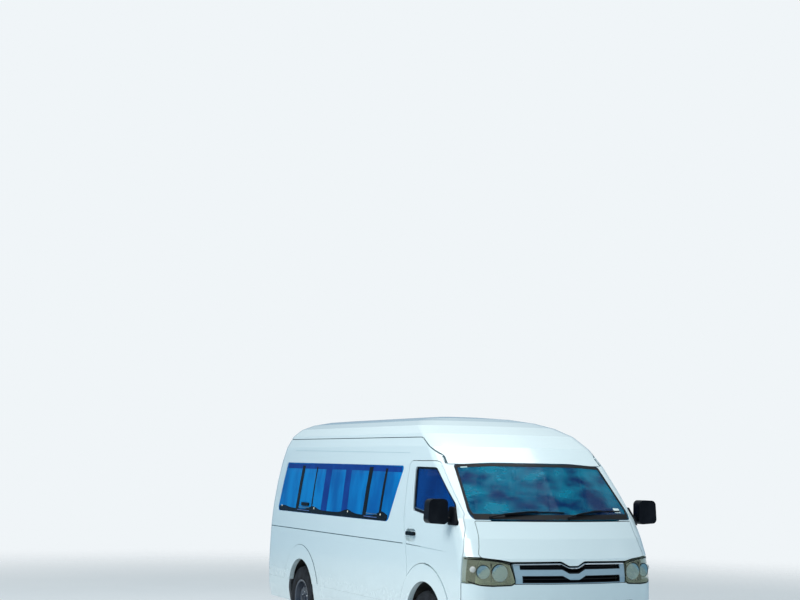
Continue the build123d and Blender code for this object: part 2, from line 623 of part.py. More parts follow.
def make_ends():
    """Bumpers, sills, lamps, grille and tailgate."""
    bumper_zone = block((NOSE_X, NOSE_REACH), (-1000, 1000), (BODY_BOTTOM_Z - 10, BUMPER_TOP_Z))
    bumper_wing = block((AXLE_FRONT_X, NOSE_X + 1), (-1000, 1000), (BODY_BOTTOM_Z - 10, DOOR_FOOT_Z - GAP))
    wing_cut = both(wheel_disc(AXLE_FRONT_X, FLARE_RADIUS + SEAT_GAP, *RIGHT))
    lamp_grown = front_cut(HEADLAMP, NOSE_X - 60, NOSE_REACH, SEAM)
    grille_cut = front_cut(GRILLE, NOSE_X, NOSE_REACH)
    bumper = skin(bumper_zone + bumper_wing, 0.0, BUMPER_THICK)
    bumper = cut_all(bumper, wing_cut + [
        lamp_grown, mirrored(lamp_grown), grille_cut, front_cut(INTAKE, NOSE_X, NOSE_REACH),
    ])
    stays = [
        block(
            (RAIL_FRONT_X + SEAT_GAP, BUMPER_STAY_X), (s * RAIL_Y[0], s * RAIL_Y[1]),
            (RAIL_Z[0] + 10, RAIL_Z[1] - 10))
        for s in (-1, 1)
    ]
    bar = skin(block((NOSE_X, NOSE_REACH), (-700, 700), (430, 505)), BUMPER_THICK + SEAT_GAP, BUMPER_BAR_DEEP)
    keep("front_bumper", biggest(bumper))
    keep("bumper_beam", bar, *(stay & hull(BUMPER_BAR_DEEP + SEAT_GAP) for stay in stays))
    rear_zone = block((TAIL_REACH, REAR_BUMPER_X), (-1000, 1000), (BODY_BOTTOM_Z - 10, SILL_Z))
    rear = skin(rear_zone, 0.0, BUMPER_THICK)
    rear_ring = [wheel_disc(AXLE_REAR_X, ARCH_RADIUS, s * SIDE_INNER, s * SIDE_REACH) for s in (-1, 1)]
    step = block((TAIL_REACH, RAIL_REAR_X - GAP), (-840, 840), (SILL_Z - 20, SILL_Z))
    step = (hull(BUMPER_THICK - 1) & rear_zone) & step
    keep("rear_bumper", biggest(cut_all(rear, rear_ring) + step))
    sill = skin(block((SILL_REAR_X, SILL_FRONT_X), (-1000, 0), (BODY_BOTTOM_Z - 10, SILL_Z)), 0.0, WALL)
    sill = cut_all(sill, [
        wheel_disc(AXLE_FRONT_X, FLARE_RADIUS + SEAT_GAP, *RIGHT), wheel_disc(AXLE_REAR_X, ARCH_RADIUS, *RIGHT),
    ])
    left_sill = biggest(sill - side_cut(SLIDE_OUTLINE, *RIGHT, GAP))
    keep("sills", biggest(sill), mirrored(left_sill))

    lamp_cut = front_cut(HEADLAMP, NOSE_X, NOSE_REACH, -SEAT_GAP)
    lens = skin(lamp_cut, LENS_SINK, LENS_SINK + LENS_THICK)
    can = skin(lamp_cut, LENS_SINK + LENS_THICK + SEAT_GAP, LAMP_DEEP)
    hollow = skin(front_cut(HEADLAMP, NOSE_X, NOSE_REACH, -LAMP_RIM), LENS_SINK, LAMP_DEEP - LAMP_BACK)
    can = biggest(can - hollow)
    keep("headlamp_lenses", *both(biggest(lens)))
    keep("headlamp_cases", *both(can))
    tail_cut = front_cut(TAIL_LAMP, TAIL_REACH, TAIL_LAMP_FRONT_X, -SEAT_GAP)
    tail = skin(tail_cut, 0.0, WALL)
    keep("tail_lamps", *both(biggest(tail)))

    grille = skin(front_cut(GRILLE, NOSE_X, NOSE_REACH, -SEAM), GRILLE_SINK, GRILLE_DEEP)
    slots = [front_cut(outline, NOSE_X, NOSE_REACH) for outline in GRILLE_SLOTS]
    grille = biggest(cut_all(grille, slots))
    slats = [
        skin(block((NOSE_X, NOSE_REACH), (-500, 500), (z, z + 7)), GRILLE_SINK + 14, GRILLE_DEEP)
        for z in SLAT_LEVELS
    ]
    ribs = [
        skin(block((NOSE_X, NOSE_REACH), (-640, 640), (z, z + 14)), BUMPER_THICK + SEAT_GAP, GRILLE_DEEP + 6)
        for z in (560, 600)
    ]
    keep("grille", grille + [slat & front_cut(GRILLE, NOSE_X, NOSE_REACH, -SEAM - 4) for slat in slats])
    keep("intake_bars", *ribs)
    tailgate = skin(front_cut(TAILGATE, *REAR), 0.0, WALL)
    tailgate = cut_all(tailgate, window_hole(REAR_WINDOW, front_cut, *REAR))
    plate_cup = front_cut(oval(0, PLATE_Z, 560, 190, 30), *REAR) - hull(14)
    keep("tailgate", tailgate - plate_cup)
    keep("tailgate_glass", pane(REAR_WINDOW, front_cut, *REAR))


def make_floor():
    inside = hull(WALL + SEAT_GAP)
    reach = (-1000, 1000)
    plate = inside & block((FLOOR_REAR_X, FLOOR_FRONT_X), reach, (FLOOR_Z, FLOOR_Z + FLOOR_THICK))
    wells = []
    front_well = (AXLE_FRONT_X, WELL_INNER_FRONT, FLOOR_Z)
    rear_well = (AXLE_REAR_X, WELL_INNER_REAR, WELL_FOOT_Z)
    for axle_x, inner, foot in (front_well, rear_well):
        for s in (-1, 1):
            outer = across(
                axle_x, ARCH_CENTRE_Z, WELL_RADIUS + WELL_WALL, s * (inner - WELL_WALL), s * SIDE_REACH)
            void = across(axle_x, ARCH_CENTRE_Z, WELL_RADIUS, s * inner, s * SIDE_REACH)
            seat = across(
                axle_x, ARCH_CENTRE_Z, WELL_RADIUS + WELL_WALL + SEAT_GAP,
                s * (inner - WELL_WALL - SEAT_GAP), s * SIDE_REACH)
            over = block((axle_x - 600, axle_x + 600), (0, 1000 * s), (foot, 900))
            wells.append(((outer - void) & over) & inside)
            plate = plate - seat
    cover_out = block(COVER_X, (-COVER_HALF, COVER_HALF), (FLOOR_Z, COVER_TOP_Z))
    cover_in = block(
        (COVER_X[0] + COVER_WALL, COVER_X[1] - COVER_WALL),
        (-COVER_HALF + COVER_WALL, COVER_HALF - COVER_WALL),
        (FLOOR_Z - 10, COVER_TOP_Z - COVER_WALL))
    cover_seat = block(
        (COVER_X[0] - SEAT_GAP, COVER_X[1] + SEAT_GAP), (-COVER_HALF - SEAT_GAP, COVER_HALF + SEAT_GAP),
        (FLOOR_Z - 10, FLOOR_Z + 2 * FLOOR_THICK))
    riser_y = STEP_WELL_Y - STEP_THICK
    stair = block(STEP_WELL_X, (riser_y - SEAT_GAP, 1000), (FLOOR_Z - 1, FLOOR_Z + FLOOR_THICK + 1))
    door_room = skin(side_cut(DOOR_OUTLINE, *RIGHT, DOOR_ROOM), 0.0, WALL + DOOR_SWING_ROOM)
    plate = cut_all(plate, [cover_seat, stair] + both(door_room))
    step = inside & block(STEP_WELL_X, (riser_y, 1000), (STEP_Z, STEP_Z + STEP_THICK))
    riser_z = (STEP_Z + STEP_THICK + SEAT_GAP, FLOOR_Z + FLOOR_THICK)
    riser = inside & block(STEP_WELL_X, (riser_y, STEP_WELL_Y), riser_z)
    keep("floor_pan", biggest(plate), step, riser)
    keep("wheel_wells", *(biggest(well) for well in wells))
    keep("engine_cover", cover_out - cover_in)


def make_chassis():
    frame = [block((RAIL_REAR_X, RAIL_FRONT_X), (s * RAIL_Y[0], s * RAIL_Y[1]), RAIL_Z) for s in (-1, 1)]
    span = RAIL_Y[0] - SEAT_GAP
    for x in CROSS_X:
        frame.append(block((x - 35, x + 35), (-span, span), (RAIL_Z[0] + 10, RAIL_Z[1] - 10)))
    for s in (-1, 1):
        side = s * (RAIL_Y[1] + SEAT_GAP)
        for x in OUTRIGGER_X:
            frame.append(block((x - 25, x + 25), (s * RAIL_Y[0], s * OUTRIGGER_Y), OUTRIGGER_Z))
        for x in (SPRING_REAR_X, SPRING_FRONT_X):
            inner_plate = s * (SPRING_Y - SPRING_WIDE / 2 - 1)
            bracket = block((x - 30, x + 30), (side, inner_plate), (430, 500))
            bracket += across(x, SPRING_END_Z, 12, side + s, s * (SPRING_Y + SPRING_WIDE / 2 + 12))
            ear = block((x - 20, x + 20), (inner_plate - 13 * s, inner_plate), (SPRING_END_Z - 20, 500))
            bracket += ear
            frame.append(bracket)
        for x in (ENGINE_X[0] + 150, ENGINE_X[1] - 150):
            mount_z = (RAIL_Z[0] + 15, RAIL_Z[0] + 70)
            frame.append(block((x - 35, x + 35), (s * (ENGINE_HALF + SEAT_GAP), s * span), mount_z))
        frame.append(block(
            (AXLE_FRONT_X - 185, AXLE_FRONT_X + 185), (s * (RAIL_Y[1] - 25), s * RAIL_Y[1]),
            (285, RAIL_Z[0] - SEAT_GAP)))
    keep("chassis_frame", *frame)
    keep("engine_block", block(ENGINE_X, (-ENGINE_HALF, ENGINE_HALF), ENGINE_Z))

    # eye plates that lie under the rails, with their holes beside them
    tow = []
    top = RAIL_Z[0] - SEAT_GAP
    for x, s in ((TOW_FRONT_X, -1), (TOW_REAR_X, 1)):
        plate = block((x - TOW_OUTER, x + TOW_OUTER), (s * RAIL_Y[0], s * TOW_Y), (top - TOW_THICK, top))
        plate += rod((x, s * TOW_Y, top - TOW_THICK), (x, s * TOW_Y, top), TOW_OUTER)
        tow.append(plate - rod((x, s * TOW_Y, top - TOW_THICK - 1), (x, s * TOW_Y, top + 1), TOW_BORE))
    keep("tow_eyes", *tow)

    # rear axle with its casing, and the shaft that drives it
    z = TYRE_RADIUS
    axle = across(AXLE_REAR_X, z, 38, -REAR_TUBE_END, REAR_TUBE_END)
    axle += Pos(AXLE_REAR_X, 0, z) * Sphere(132)
    axle += rod((AXLE_REAR_X, 0, z), (AXLE_REAR_X + 210, 0, z), 52)
    axle += across(AXLE_REAR_X, z, SPINDLE_R, -REAR_SPINDLE_END, REAR_SPINDLE_END)
    for s in (-1, 1):
        seat = block((AXLE_REAR_X - 55, AXLE_REAR_X + 55), (s * (SPRING_Y - 36), s * (SPRING_Y + 36)),
                     (SPRING_MID_Z + SPRING_THICK / 2 + SPRING_PAD_GAP, z - 20))
        axle += seat
    keep("rear_axle", axle)
    shaft_end = ENGINE_X[0] - SEAT_GAP
    shaft_start = AXLE_REAR_X + 210 + SEAT_GAP
    keep("propeller_shaft", rod((shaft_start, 0, z), (shaft_end, 0, z), 38))

    # leaf springs
    leaves = []
    for s in (-1, 1):
        outer = leaf(SPRING_THICK, SPRING_REAR_X, SPRING_FRONT_X)
        strip = extrude_side(outer, SPRING_Y - SPRING_WIDE / 2, SPRING_Y + SPRING_WIDE / 2)
        eyes = Part() + [across(x, SPRING_END_Z, 22, SPRING_Y - SPRING_WIDE / 2, SPRING_Y + SPRING_WIDE / 2)
                         for x in (SPRING_REAR_X, SPRING_FRONT_X)]
        holes = [across(x, SPRING_END_Z, 12 + SEAT_GAP, 400, 800) for x in (SPRING_REAR_X, SPRING_FRONT_X)]
        body = cut_all(strip + eyes, holes)
        leaves.append(body if s > 0 else mirrored(body))
    keep("rear_springs", *leaves)

    # fuel tank, exhaust and spare wheel
    tank = block(TANK_X, TANK_Y, TANK_Z)
    tank = fillet(tank.edges(), 30)
    keep("fuel_tank", tank)
    silencer = rod((EXHAUST_X[0], EXHAUST_Y, EXHAUST_Z), (EXHAUST_X[1], EXHAUST_Y, EXHAUST_Z), 92)
    turn_x = ENGINE_X[0] + 50
    pipe = rod((turn_x, EXHAUST_Y, EXHAUST_Z), (EXHAUST_X[1] - 5, EXHAUST_Y, EXHAUST_Z), EXHAUST_R)
    elbow = across(turn_x, EXHAUST_Z, EXHAUST_R, EXHAUST_Y, -ENGINE_HALF - SEAT_GAP)
    bend = (EXHAUST_X[0] - 150, EXHAUST_Y - 130, EXHAUST_Z - 10)
    tail_pipe = rod((EXHAUST_X[0] + 10, EXHAUST_Y, EXHAUST_Z), bend, EXHAUST_R)
    tail_pipe += rod(bend, (EXHAUST_X[0] - 190, -840, EXHAUST_Z - 40), EXHAUST_R)
    knees = [Pos(turn_x, EXHAUST_Y, EXHAUST_Z) * Sphere(EXHAUST_R), Pos(*bend) * Sphere(EXHAUST_R)]
    keep("exhaust", silencer + pipe + elbow + tail_pipe + knees)
    spare = tyre_body(SPARE_RADIUS)
    keep("spare_wheel", Pos(SPARE_X, 0, SPARE_Z) * Rot(90, 0, 0) * spare)


def leaf(thick, x_from, x_to):
    """Side view of one spring leaf: a shallow arc."""
    half = (SPRING_FRONT_X - SPRING_REAR_X) / 2
    sag = SPRING_END_Z - SPRING_MID_Z
    radius = (half**2 + sag**2) / (2 * sag)
    centre = ((SPRING_FRONT_X + SPRING_REAR_X) / 2, SPRING_MID_Z + radius)

    def at(x, r):
        return Vector(x, centre[1] - sqrt(r**2 - (x - centre[0])**2), 0)

    inner = radius - thick / 2
    outer = radius + thick / 2
    mid = (x_from + x_to) / 2
    return Face(Wire([
        Edge.make_three_point_arc(at(x_from, inner), at(mid, inner), at(x_to, inner)),
        Edge.make_line(at(x_to, inner), at(x_to, outer)),
        Edge.make_three_point_arc(at(x_to, outer), at(mid, outer), at(x_from, outer)),
        Edge.make_line(at(x_from, outer), at(x_from, inner)),
    ]))


def extrude_side(face, y_from, y_to):
    return Pos(0, y_to, 0) * Rot(90, 0, 0) * Solid.extrude(face, Vector(0, 0, y_to - y_from))


def turned(profile):
    """A ring about the Y axis from (radius, y, corner radius) points."""
    face = rounded_face(profile)
    face = Plane(origin=(0, 0, 0), x_dir=(1, 0, 0), z_dir=(0, 0, 1)) * face
    return Solid.revolve(face, 360, Axis.Y)


def tyre_body(radius):
    half = TYRE_WIDTH / 2
    bead = RIM_RADIUS + SEAT_GAP
    return turned([
        (bead, -half + 22, 4), (bead + 20, -half + 8, 12), (radius - 78, -half, 50), (radius - 12, -half + 14, 26),
        (radius, -half + 34, 40), (radius, half - 34, 40), (radius - 12, half - 14, 26),
        (radius - 78, half, 50), (bead + 20, half - 8, 12), (bead, half - 22, 4),
    ])


def rim_body():
    """Pressed wheel with a dished disc and a hub; the outer face looks along +Y."""
    half = TYRE_WIDTH / 2
    barrel = turned([
        (RIM_RADIUS, -half + 22.4, 2), (RIM_RADIUS + 12, -half + 9, 1), (RIM_RADIUS + 12, -half + 5, 1),
        (RIM_RADIUS - 6, -half + 8, 3), (RIM_RADIUS - 20, -40, 8), (RIM_RADIUS - 20, 40, 8),
        (RIM_RADIUS - 6, half - 8, 3), (RIM_RADIUS + 12, half - 5, 1), (RIM_RADIUS + 12, half - 9, 1),
        (RIM_RADIUS, half - 22.4, 2), (RIM_RADIUS - 12, 40, 6), (RIM_RADIUS - 12, -40, 6),
    ])
    disc = turned([
        (RIM_RADIUS - 17, 18, 2), (RIM_RADIUS - 17, 26, 2), (140, 44, 12), (118, 62, 8), (84, 40, 10),
        (HUB_RADIUS - 4, 40, 2), (HUB_RADIUS - 4, 33, 2), (88, 33, 8), (118, 54, 8), (134, 38, 12),
    ])
    hub = turned([
        (SPINDLE_R + RUNNING, HUB_Y[0], 1), (HUB_RADIUS, HUB_Y[0], 3), (HUB_RADIUS, 46, 4),
        (46, 52, 4), (40, 78, 8), (SPINDLE_R + RUNNING, 78, 1),
    ])
    vents = [
        Rot(0, k * 360 / VENTS, 0) * (Pos(VENT_CIRCLE, 44, 0) * Rot(90, 0, 0) * Cylinder(VENT_R, 60))
        for k in range(VENTS)
    ]
    return cut_all(barrel + disc, vents) + hub


def make_wheels():
    tyre = tyre_body(TYRE_RADIUS)
    rim = rim_body()
    for end, x in (("front", AXLE_FRONT_X), ("rear", AXLE_REAR_X)):
        for hand, s in (("left", 1), ("right", -1)):
            place = Pos(x, TRACK_HALF, TYRE_RADIUS)
            turn = (lambda p: p) if s > 0 else mirrored
            keep(f"tyre_{end}_{hand}", turn(place * tyre))
            keep(f"rim_{end}_{hand}", turn(place * rim))

    # knuckles, each on a kingpin between two wishbones
    z = TYRE_RADIUS
    pin = rod((AXLE_FRONT_X, KINGPIN_Y, z - PIN_REACH), (AXLE_FRONT_X, KINGPIN_Y, z + PIN_REACH), PIN_R)
    upright = block((AXLE_FRONT_X - 26, AXLE_FRONT_X + 26), (KINGPIN_Y - 22, KINGPIN_Y + 24),
                    (z - ARM_OFFSET + ARM_HALF + 1, z + ARM_OFFSET - ARM_HALF - 1))
    upright = fillet(upright.edges().filter_by(Axis.Z), 10)
    spindle = across(AXLE_FRONT_X, z, SPINDLE_R, KINGPIN_Y, TRACK_HALF + 76)
    flange = across(AXLE_FRONT_X, z, 34, KINGPIN_Y + 10, TRACK_HALF + HUB_Y[0] - 2)
    arm = rod((AXLE_FRONT_X, KINGPIN_Y - 5, z - 40), (AXLE_FRONT_X - 120, KINGPIN_Y - 22, z - 40), 13)
    knuckle = pin + upright + spindle + flange + arm
    keep("knuckle_left", knuckle)
    keep("knuckle_right", mirrored(knuckle))
    arms = []
    for level, inner_z in ((z - ARM_OFFSET, z - ARM_OFFSET + 60), (z + ARM_OFFSET, z + ARM_OFFSET + 20)):
        low = (AXLE_FRONT_X, KINGPIN_Y, level - ARM_HALF)
        collar = rod(low, (AXLE_FRONT_X, KINGPIN_Y, level + ARM_HALF), 28)
        legs = [rod((AXLE_FRONT_X, KINGPIN_Y - 14, level), (AXLE_FRONT_X + dx, RAIL_Y[1] + 14, inner_z), 13)
                for dx in (-130, 130)]
        pivot_y = RAIL_Y[1] + 16
        pivot = rod((AXLE_FRONT_X - 170, pivot_y, inner_z), (AXLE_FRONT_X + 170, pivot_y, inner_z), 15.5)
        wishbone = (collar + legs) + pivot
        low = (AXLE_FRONT_X, KINGPIN_Y, level - 60)
        bore = rod(low, (AXLE_FRONT_X, KINGPIN_Y, level + 60), PIN_R + RUNNING)
        arms.append(wishbone - bore)
    keep("front_suspension", *(part for arm_ in arms for part in both(arm_)))


def make_cabin():
    floor_top = FLOOR_Z + FLOOR_THICK
    hub = Vector(*STEER_HUB)
    axis = Vector(-cos(radians(STEER_TILT)), 0, sin(radians(STEER_TILT)))
    plane = Plane(origin=hub, x_dir=(0, 1, 0), z_dir=axis)
    ring = plane * Torus(STEER_RADIUS, STEER_GRIP)
    boss = plane * Pos(0, 0, -14) * Cylinder(52, 40)
    spokes = [
        plane * Rot(0, 0, a) * Pos(STEER_RADIUS / 2, 0, -6) * Box(STEER_RADIUS - 4, 34, 12)
        for a in (-20, 200, 270)
    ]
    wheel = ring + boss + spokes[0] + spokes[1] + spokes[2]
    keep("steering_wheel", wheel)
    column_from = tuple(hub - axis * COLUMN_START)
    column_to = tuple(hub - axis * COLUMN_LONG)
    keep("steering_column", rod(column_from, column_to, COLUMN_R))
    dash = hull(DASH_CLEAR) & side_cut(DASH_SIDE, -DASH_HALF, DASH_HALF)
    below_shelf = block((2000, NOSE_REACH), (-1000, 1000), (800, SHELF_Z + 14 + SEAT_GAP))
    below_shelf = below_shelf - hull(BULKHEAD_DEEP + SEAT_GAP)
    keep("dashboard", cut_all(dash, [below_shelf, rod(column_from, column_to, COLUMN_R + SEAT_GAP)]))
    fronts = []
    for y in FRONT_SEAT_Y:
        fronts += seat(FRONT_SEAT_X, y, COVER_TOP_Z + SEAT_GAP, FRONT_SEAT_WIDE)
    keep("front_seats", *fronts)
    rows = []
    legs = []
    for row, x in enumerate(ROW_X):
        for y, wide in (BENCH,) if row == 0 else (BENCH, SINGLE):
            rows += seat(x, y, floor_top + LEG_HIGH, wide)
            for dx in (65, 365):
                for dy in (-1, 1):
                    leg_y = y + dy * min(wide / 2 - 60, 170)
                    legs.append(block((x + dx - 20, x + dx + 20), (leg_y - 20, leg_y + 20),
                                      (floor_top + SEAT_GAP, floor_top + LEG_HIGH - SEAT_GAP)))
    keep("rear_seats", *rows)
    keep("seat_legs", *legs)


def seat(x, y, z, wide):
    """Cushion, back and headrest of one seat whose cushion starts at x."""
    cushion = side_cut([
        (x, z, 30), (x + CUSHION_LONG, z, 40), (x + CUSHION_LONG + 6, z + CUSHION_THICK, 50),
        (x + 10, z + CUSHION_THICK - 24, 20),
    ], y - wide / 2, y + wide / 2)
    base = z + CUSHION_THICK - 20
    back = side_cut([
        (x - 8, z + 20, 20), (x - 8 - SEAT_GAP, base, 0), (x + 8 - BACK_LEAN, base + BACK_HIGH, 40),
        (x - 82 - BACK_LEAN, base + BACK_HIGH, 40), (x - 96, z + 20, 30),
    ], y - wide / 2 + 6, y + wide / 2 - 6)
    count = max(1, round(wide / 480))
    heads = []
    for i in range(count):
        at = y - wide / 2 + wide * (i + 0.5) / count
        low = base + BACK_HIGH + SEAT_GAP
        heads.append(side_cut([
            (x - 4 - BACK_LEAN - 16, low, 20), (x - 2 - BACK_LEAN - 20, low + 150, 32),
            (x - 82 - BACK_LEAN - 20, low + 150, 32), (x - 74 - BACK_LEAN - 16, low, 20),
        ], at - 130, at + 130))
    return [cushion, back] + heads


def door_handle(x):
    """A grip bar on two posts that stand in the hollow."""
    z = HANDLE_Z + 14
    handle = skin(side_cut(oval(x, z, HANDLE_LONG - 34, 34, 16), *RIGHT), -HANDLE_PROUD, -HANDLE_PROUD + 18)
    for dx in (-70, 70):
        post = side_cut(oval(x + dx, z, 26, 24, 10), *RIGHT)
        handle += skin(post, -HANDLE_PROUD + 17, CUP_DEPTH - SEAT_GAP)
    return handle


def make_small_things():
    """Mirrors, handles and wipers."""
    mirror_body = front_cut(MIRROR_HEAD, *MIRROR_X)
    foot_cut = side_cut(MIRROR_FOOT, *RIGHT)
    foot = skin(foot_cut, -MIRROR_FOOT_PROUD, -SEAT_GAP)
    foot += skin(foot_cut & side_cut(DOOR_WINDOW, *RIGHT, -SEAT_GAP), -1.0, DOOR_GLASS_SINK - SEAT_GAP)
    arm = across(MIRROR_ARM[0], MIRROR_ARM[1], 22, -980, -925)
    for hand, turn in (("right", lambda s: s), ("left", mirrored)):
        keep(f"mirror_{hand}", turn(mirror_body + foot + arm))
        keep(f"door_handle_{hand}", turn(door_handle(HANDLE_X)))
    keep("sliding_door_handle", mirrored(door_handle(SLIDE_HANDLE_X)))


def pad(x, y, z, outer, inner):
    """A rubber stop, between two depths below the paint."""
    return biggest(skin(block(x, y, z), outer, inner))


def make_stops():
    """Rubber stops that the shut doors, tailgate and hood rest on."""
    behind = (WALL + SEAT_GAP, WALL + STOP_THICK)
    edge = STOP_LONG / 2
    stops = [
        pad((DOOR_REAR_X - edge, DOOR_REAR_X + edge), (-1000, -700), (z, z + STOP_HIGH), *behind)
        for z in (980, 1500)
    ]
    tail_y = (-STOP_TAIL_Y - edge, -STOP_TAIL_Y + edge)
    stops += both(pad((TAIL_REACH, -2500), tail_y, (900, 900 + STOP_HIGH), *behind))
    stops += [mirrored(stop) for stop in stops[:2]]
    for x in (SLIDE_REAR_X, SLIDE_FRONT_X):
        for z in (700, 1500):
            stops.append(mirrored(pad((x - edge, x + edge), (-1000, -700), (z, z + STOP_HIGH), *behind)))
    stop_skin = (HOOD_THICK + SEAT_GAP, COWL_SINK - SEAT_GAP)
    hood_stop = pad((2000, NOSE_REACH), (-640, -600), (1100, 1130), *stop_skin)
    keep("door_stops", *stops, *both(hood_stop))


def main():
    make_body()
    make_ends()
    make_floor()
    make_chassis()
    make_wheels()
    make_cabin()
    make_small_things()
    make_stops()
    os.makedirs("parts", exist_ok=True)
    for name, shape in parts.items():
        export_step(shape, f"parts/{name}.step")


main()
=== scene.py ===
# %% [markdown]
# # A white high-roof passenger van
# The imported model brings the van's real pieces at their real sizes: panels, glass, wheels, seats.
# This notebook dresses them. It gives each piece its finish, adds what is too fine or too soft for
# the solids (tread, seams, lamp bowls, padded seats, wiper arms), and sets up light and camera.
# The frame is in metres: +X is forwards, +Y is the van's left and +Z is up.

# %% Load the frame
import math

import bmesh
import bpy
from mathutils import Matrix, Vector
from mathutils.bvhtree import BVHTree


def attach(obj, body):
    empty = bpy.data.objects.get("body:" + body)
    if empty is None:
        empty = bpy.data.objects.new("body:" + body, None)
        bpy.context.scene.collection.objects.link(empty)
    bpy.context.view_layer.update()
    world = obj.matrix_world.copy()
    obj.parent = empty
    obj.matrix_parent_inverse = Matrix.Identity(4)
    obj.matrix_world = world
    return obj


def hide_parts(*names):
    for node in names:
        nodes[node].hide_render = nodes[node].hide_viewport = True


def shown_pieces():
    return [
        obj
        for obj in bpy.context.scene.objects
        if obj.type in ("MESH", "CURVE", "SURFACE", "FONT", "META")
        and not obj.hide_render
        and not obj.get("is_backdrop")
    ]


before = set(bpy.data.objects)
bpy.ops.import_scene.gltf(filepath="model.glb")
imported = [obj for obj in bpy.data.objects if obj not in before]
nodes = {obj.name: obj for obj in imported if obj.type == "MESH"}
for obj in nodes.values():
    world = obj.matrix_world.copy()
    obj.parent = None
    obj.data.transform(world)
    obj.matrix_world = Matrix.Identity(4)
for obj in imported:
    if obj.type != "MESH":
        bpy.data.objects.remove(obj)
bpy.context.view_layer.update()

# %% [markdown]
# ## Shader sums
# A finish is a small graph of nodes. Writing it as sums in Python keeps it short and readable, so a
# Wire wraps one output socket and turns + - * and ** into Math nodes. Numbers that never meet a wire are
# worked out by Python itself. Colours are mixed with Mix nodes, because a Math node would turn them grey.

# %% A wire and a recipe
class Wire:
    """An output socket that can be used in sums."""

    def __init__(self, recipe, socket):
        self.recipe = recipe
        self.socket = socket

    def sum(self, operation, *others):
        return self.recipe.node("ShaderNodeMath", {"operation": operation}, *others)

    def __add__(self, other):
        return self.sum("ADD", self, other)

    def __sub__(self, other):
        return self.sum("SUBTRACT", self, other)

    def __mul__(self, other):
        return self.sum("MULTIPLY", self, other)

    def __rsub__(self, other):
        return self.sum("SUBTRACT", other, self)

    def __pow__(self, other):
        return self.sum("POWER", self, other)

    def __neg__(self):
        return self.sum("MULTIPLY", self, -1.0)

    __radd__ = __add__
    __rmul__ = __mul__

    def above(self, edge, soft=0.002):
        """0 below the edge and 1 above it, with a soft step."""
        return self.recipe.node("ShaderNodeMapRange", {"interpolation_type": "SMOOTHSTEP"},
                                self, edge - soft, edge + soft, 0.0, 1.0)

    def within(self, low, high, soft=0.002):
        return self.above(low, soft) * (1 - self.above(high, soft))

    def wave(self):
        return self.sum("SINE", self)

    def size(self):
        return self.sum("ABSOLUTE", self)

    def top(self, other):
        return self.sum("MAXIMUM", self, other)


class Recipe:
    """One material and the means to write its nodes."""

    def __init__(self, name, world=None):
        self.material = world or bpy.data.materials.new(name)
        self.material.use_nodes = True
        self.tree = self.material.node_tree
        self.tree.nodes.clear()
        self.end = self.tree.nodes.new("ShaderNodeOutputWorld" if world else "ShaderNodeOutputMaterial")

    def node(self, kind, settings=None, *values, out=0, **named):
        """A node of any kind: its settings first, then the values or wires of its sockets."""
        made = self.tree.nodes.new(kind)
        for key, value in (settings or {}).items():
            if key == "stops":
                ramp = made.color_ramp
                while len(ramp.elements) < len(value):
                    ramp.elements.new(0.5)
                for element, (place, colour) in zip(ramp.elements, value):
                    element.position = place
                    element.color = colour
            else:
                setattr(made, key, value)
        by_name = [(key.replace("_", " "), value) for key, value in named.items()]
        for key, value in list(enumerate(values)) + by_name:
            socket = made.inputs[key]
            if isinstance(value, Wire):
                self.tree.links.new(value.socket, socket)
            elif value is not None:
                socket.default_value = value
        return Wire(self, made.outputs[out])

    def place(self):
        """Position on the piece, in metres, as three wires."""
        spot = self.node("ShaderNodeTexCoord", out="Object")
        return [self.node("ShaderNodeSeparateXYZ", None, spot, out=i) for i in range(3)]

    def facing(self):
        """The surface's direction as three wires."""
        normal = self.node("ShaderNodeNewGeometry", out="Normal")
        return [self.node("ShaderNodeSeparateXYZ", None, normal, out=i) for i in range(3)]

    def noise(self, scale, detail=4.0, rough=0.55, stretch=(1.0, 1.0, 1.0)):
        spot = self.node("ShaderNodeTexCoord", out="Object")
        spot = self.node("ShaderNodeMapping", None, spot, Scale=stretch)
        return self.node("ShaderNodeTexNoise", None, spot, Scale=scale, Detail=detail, Roughness=rough)

    def mix(self, share, first, second):
        """A colour between two colours; a Mix node keeps its colours in sockets 6 and 7."""
        unused = [None] * 5
        return self.node("ShaderNodeMix", {"data_type": "RGBA"}, share, *unused, first, second, out=2)

    def bump(self, height, strength=0.3, distance=0.001):
        return self.node("ShaderNodeBump", None, Strength=strength, Distance=distance, Height=height)

    def shade(self, **named):
        """The Principled surface, with plain numbers set on its own sockets."""
        return self.node("ShaderNodeBsdfPrincipled", None, **named)

    def finish(self, surface):
        self.tree.links.new(surface.socket, self.end.inputs[0])
        return self.material


def colour(red, green, blue):
    """A colour as it looks on screen (0 to 255), in the linear values that shaders use."""
    def linear(part):
        part /= 255
        return part / 12.92 if part <= 0.04045 else ((part + 0.055) / 1.055) ** 2.4
    return (linear(red), linear(green), linear(blue), 1.0)


print("recipe ready")

# %% [markdown]
# ## Paint
# Van paint is white with a clear coat. Three things keep it from looking like plastic: the clear coat's
# faint orange peel, a film of road dust that gathers low down, and a cool tint. The inner faces of the
# same pressings are covered by grey trim, so the finish looks at which way a face points and
# at how deep inside the body it lies.

# %% White paint outside, trim inside
PAINT_WHITE = colour(214, 232, 236)
PAINT_DUSTY = colour(178, 194, 196)
TRIM_GREY = colour(96, 101, 106)
ROOF_LINING = colour(158, 160, 158)


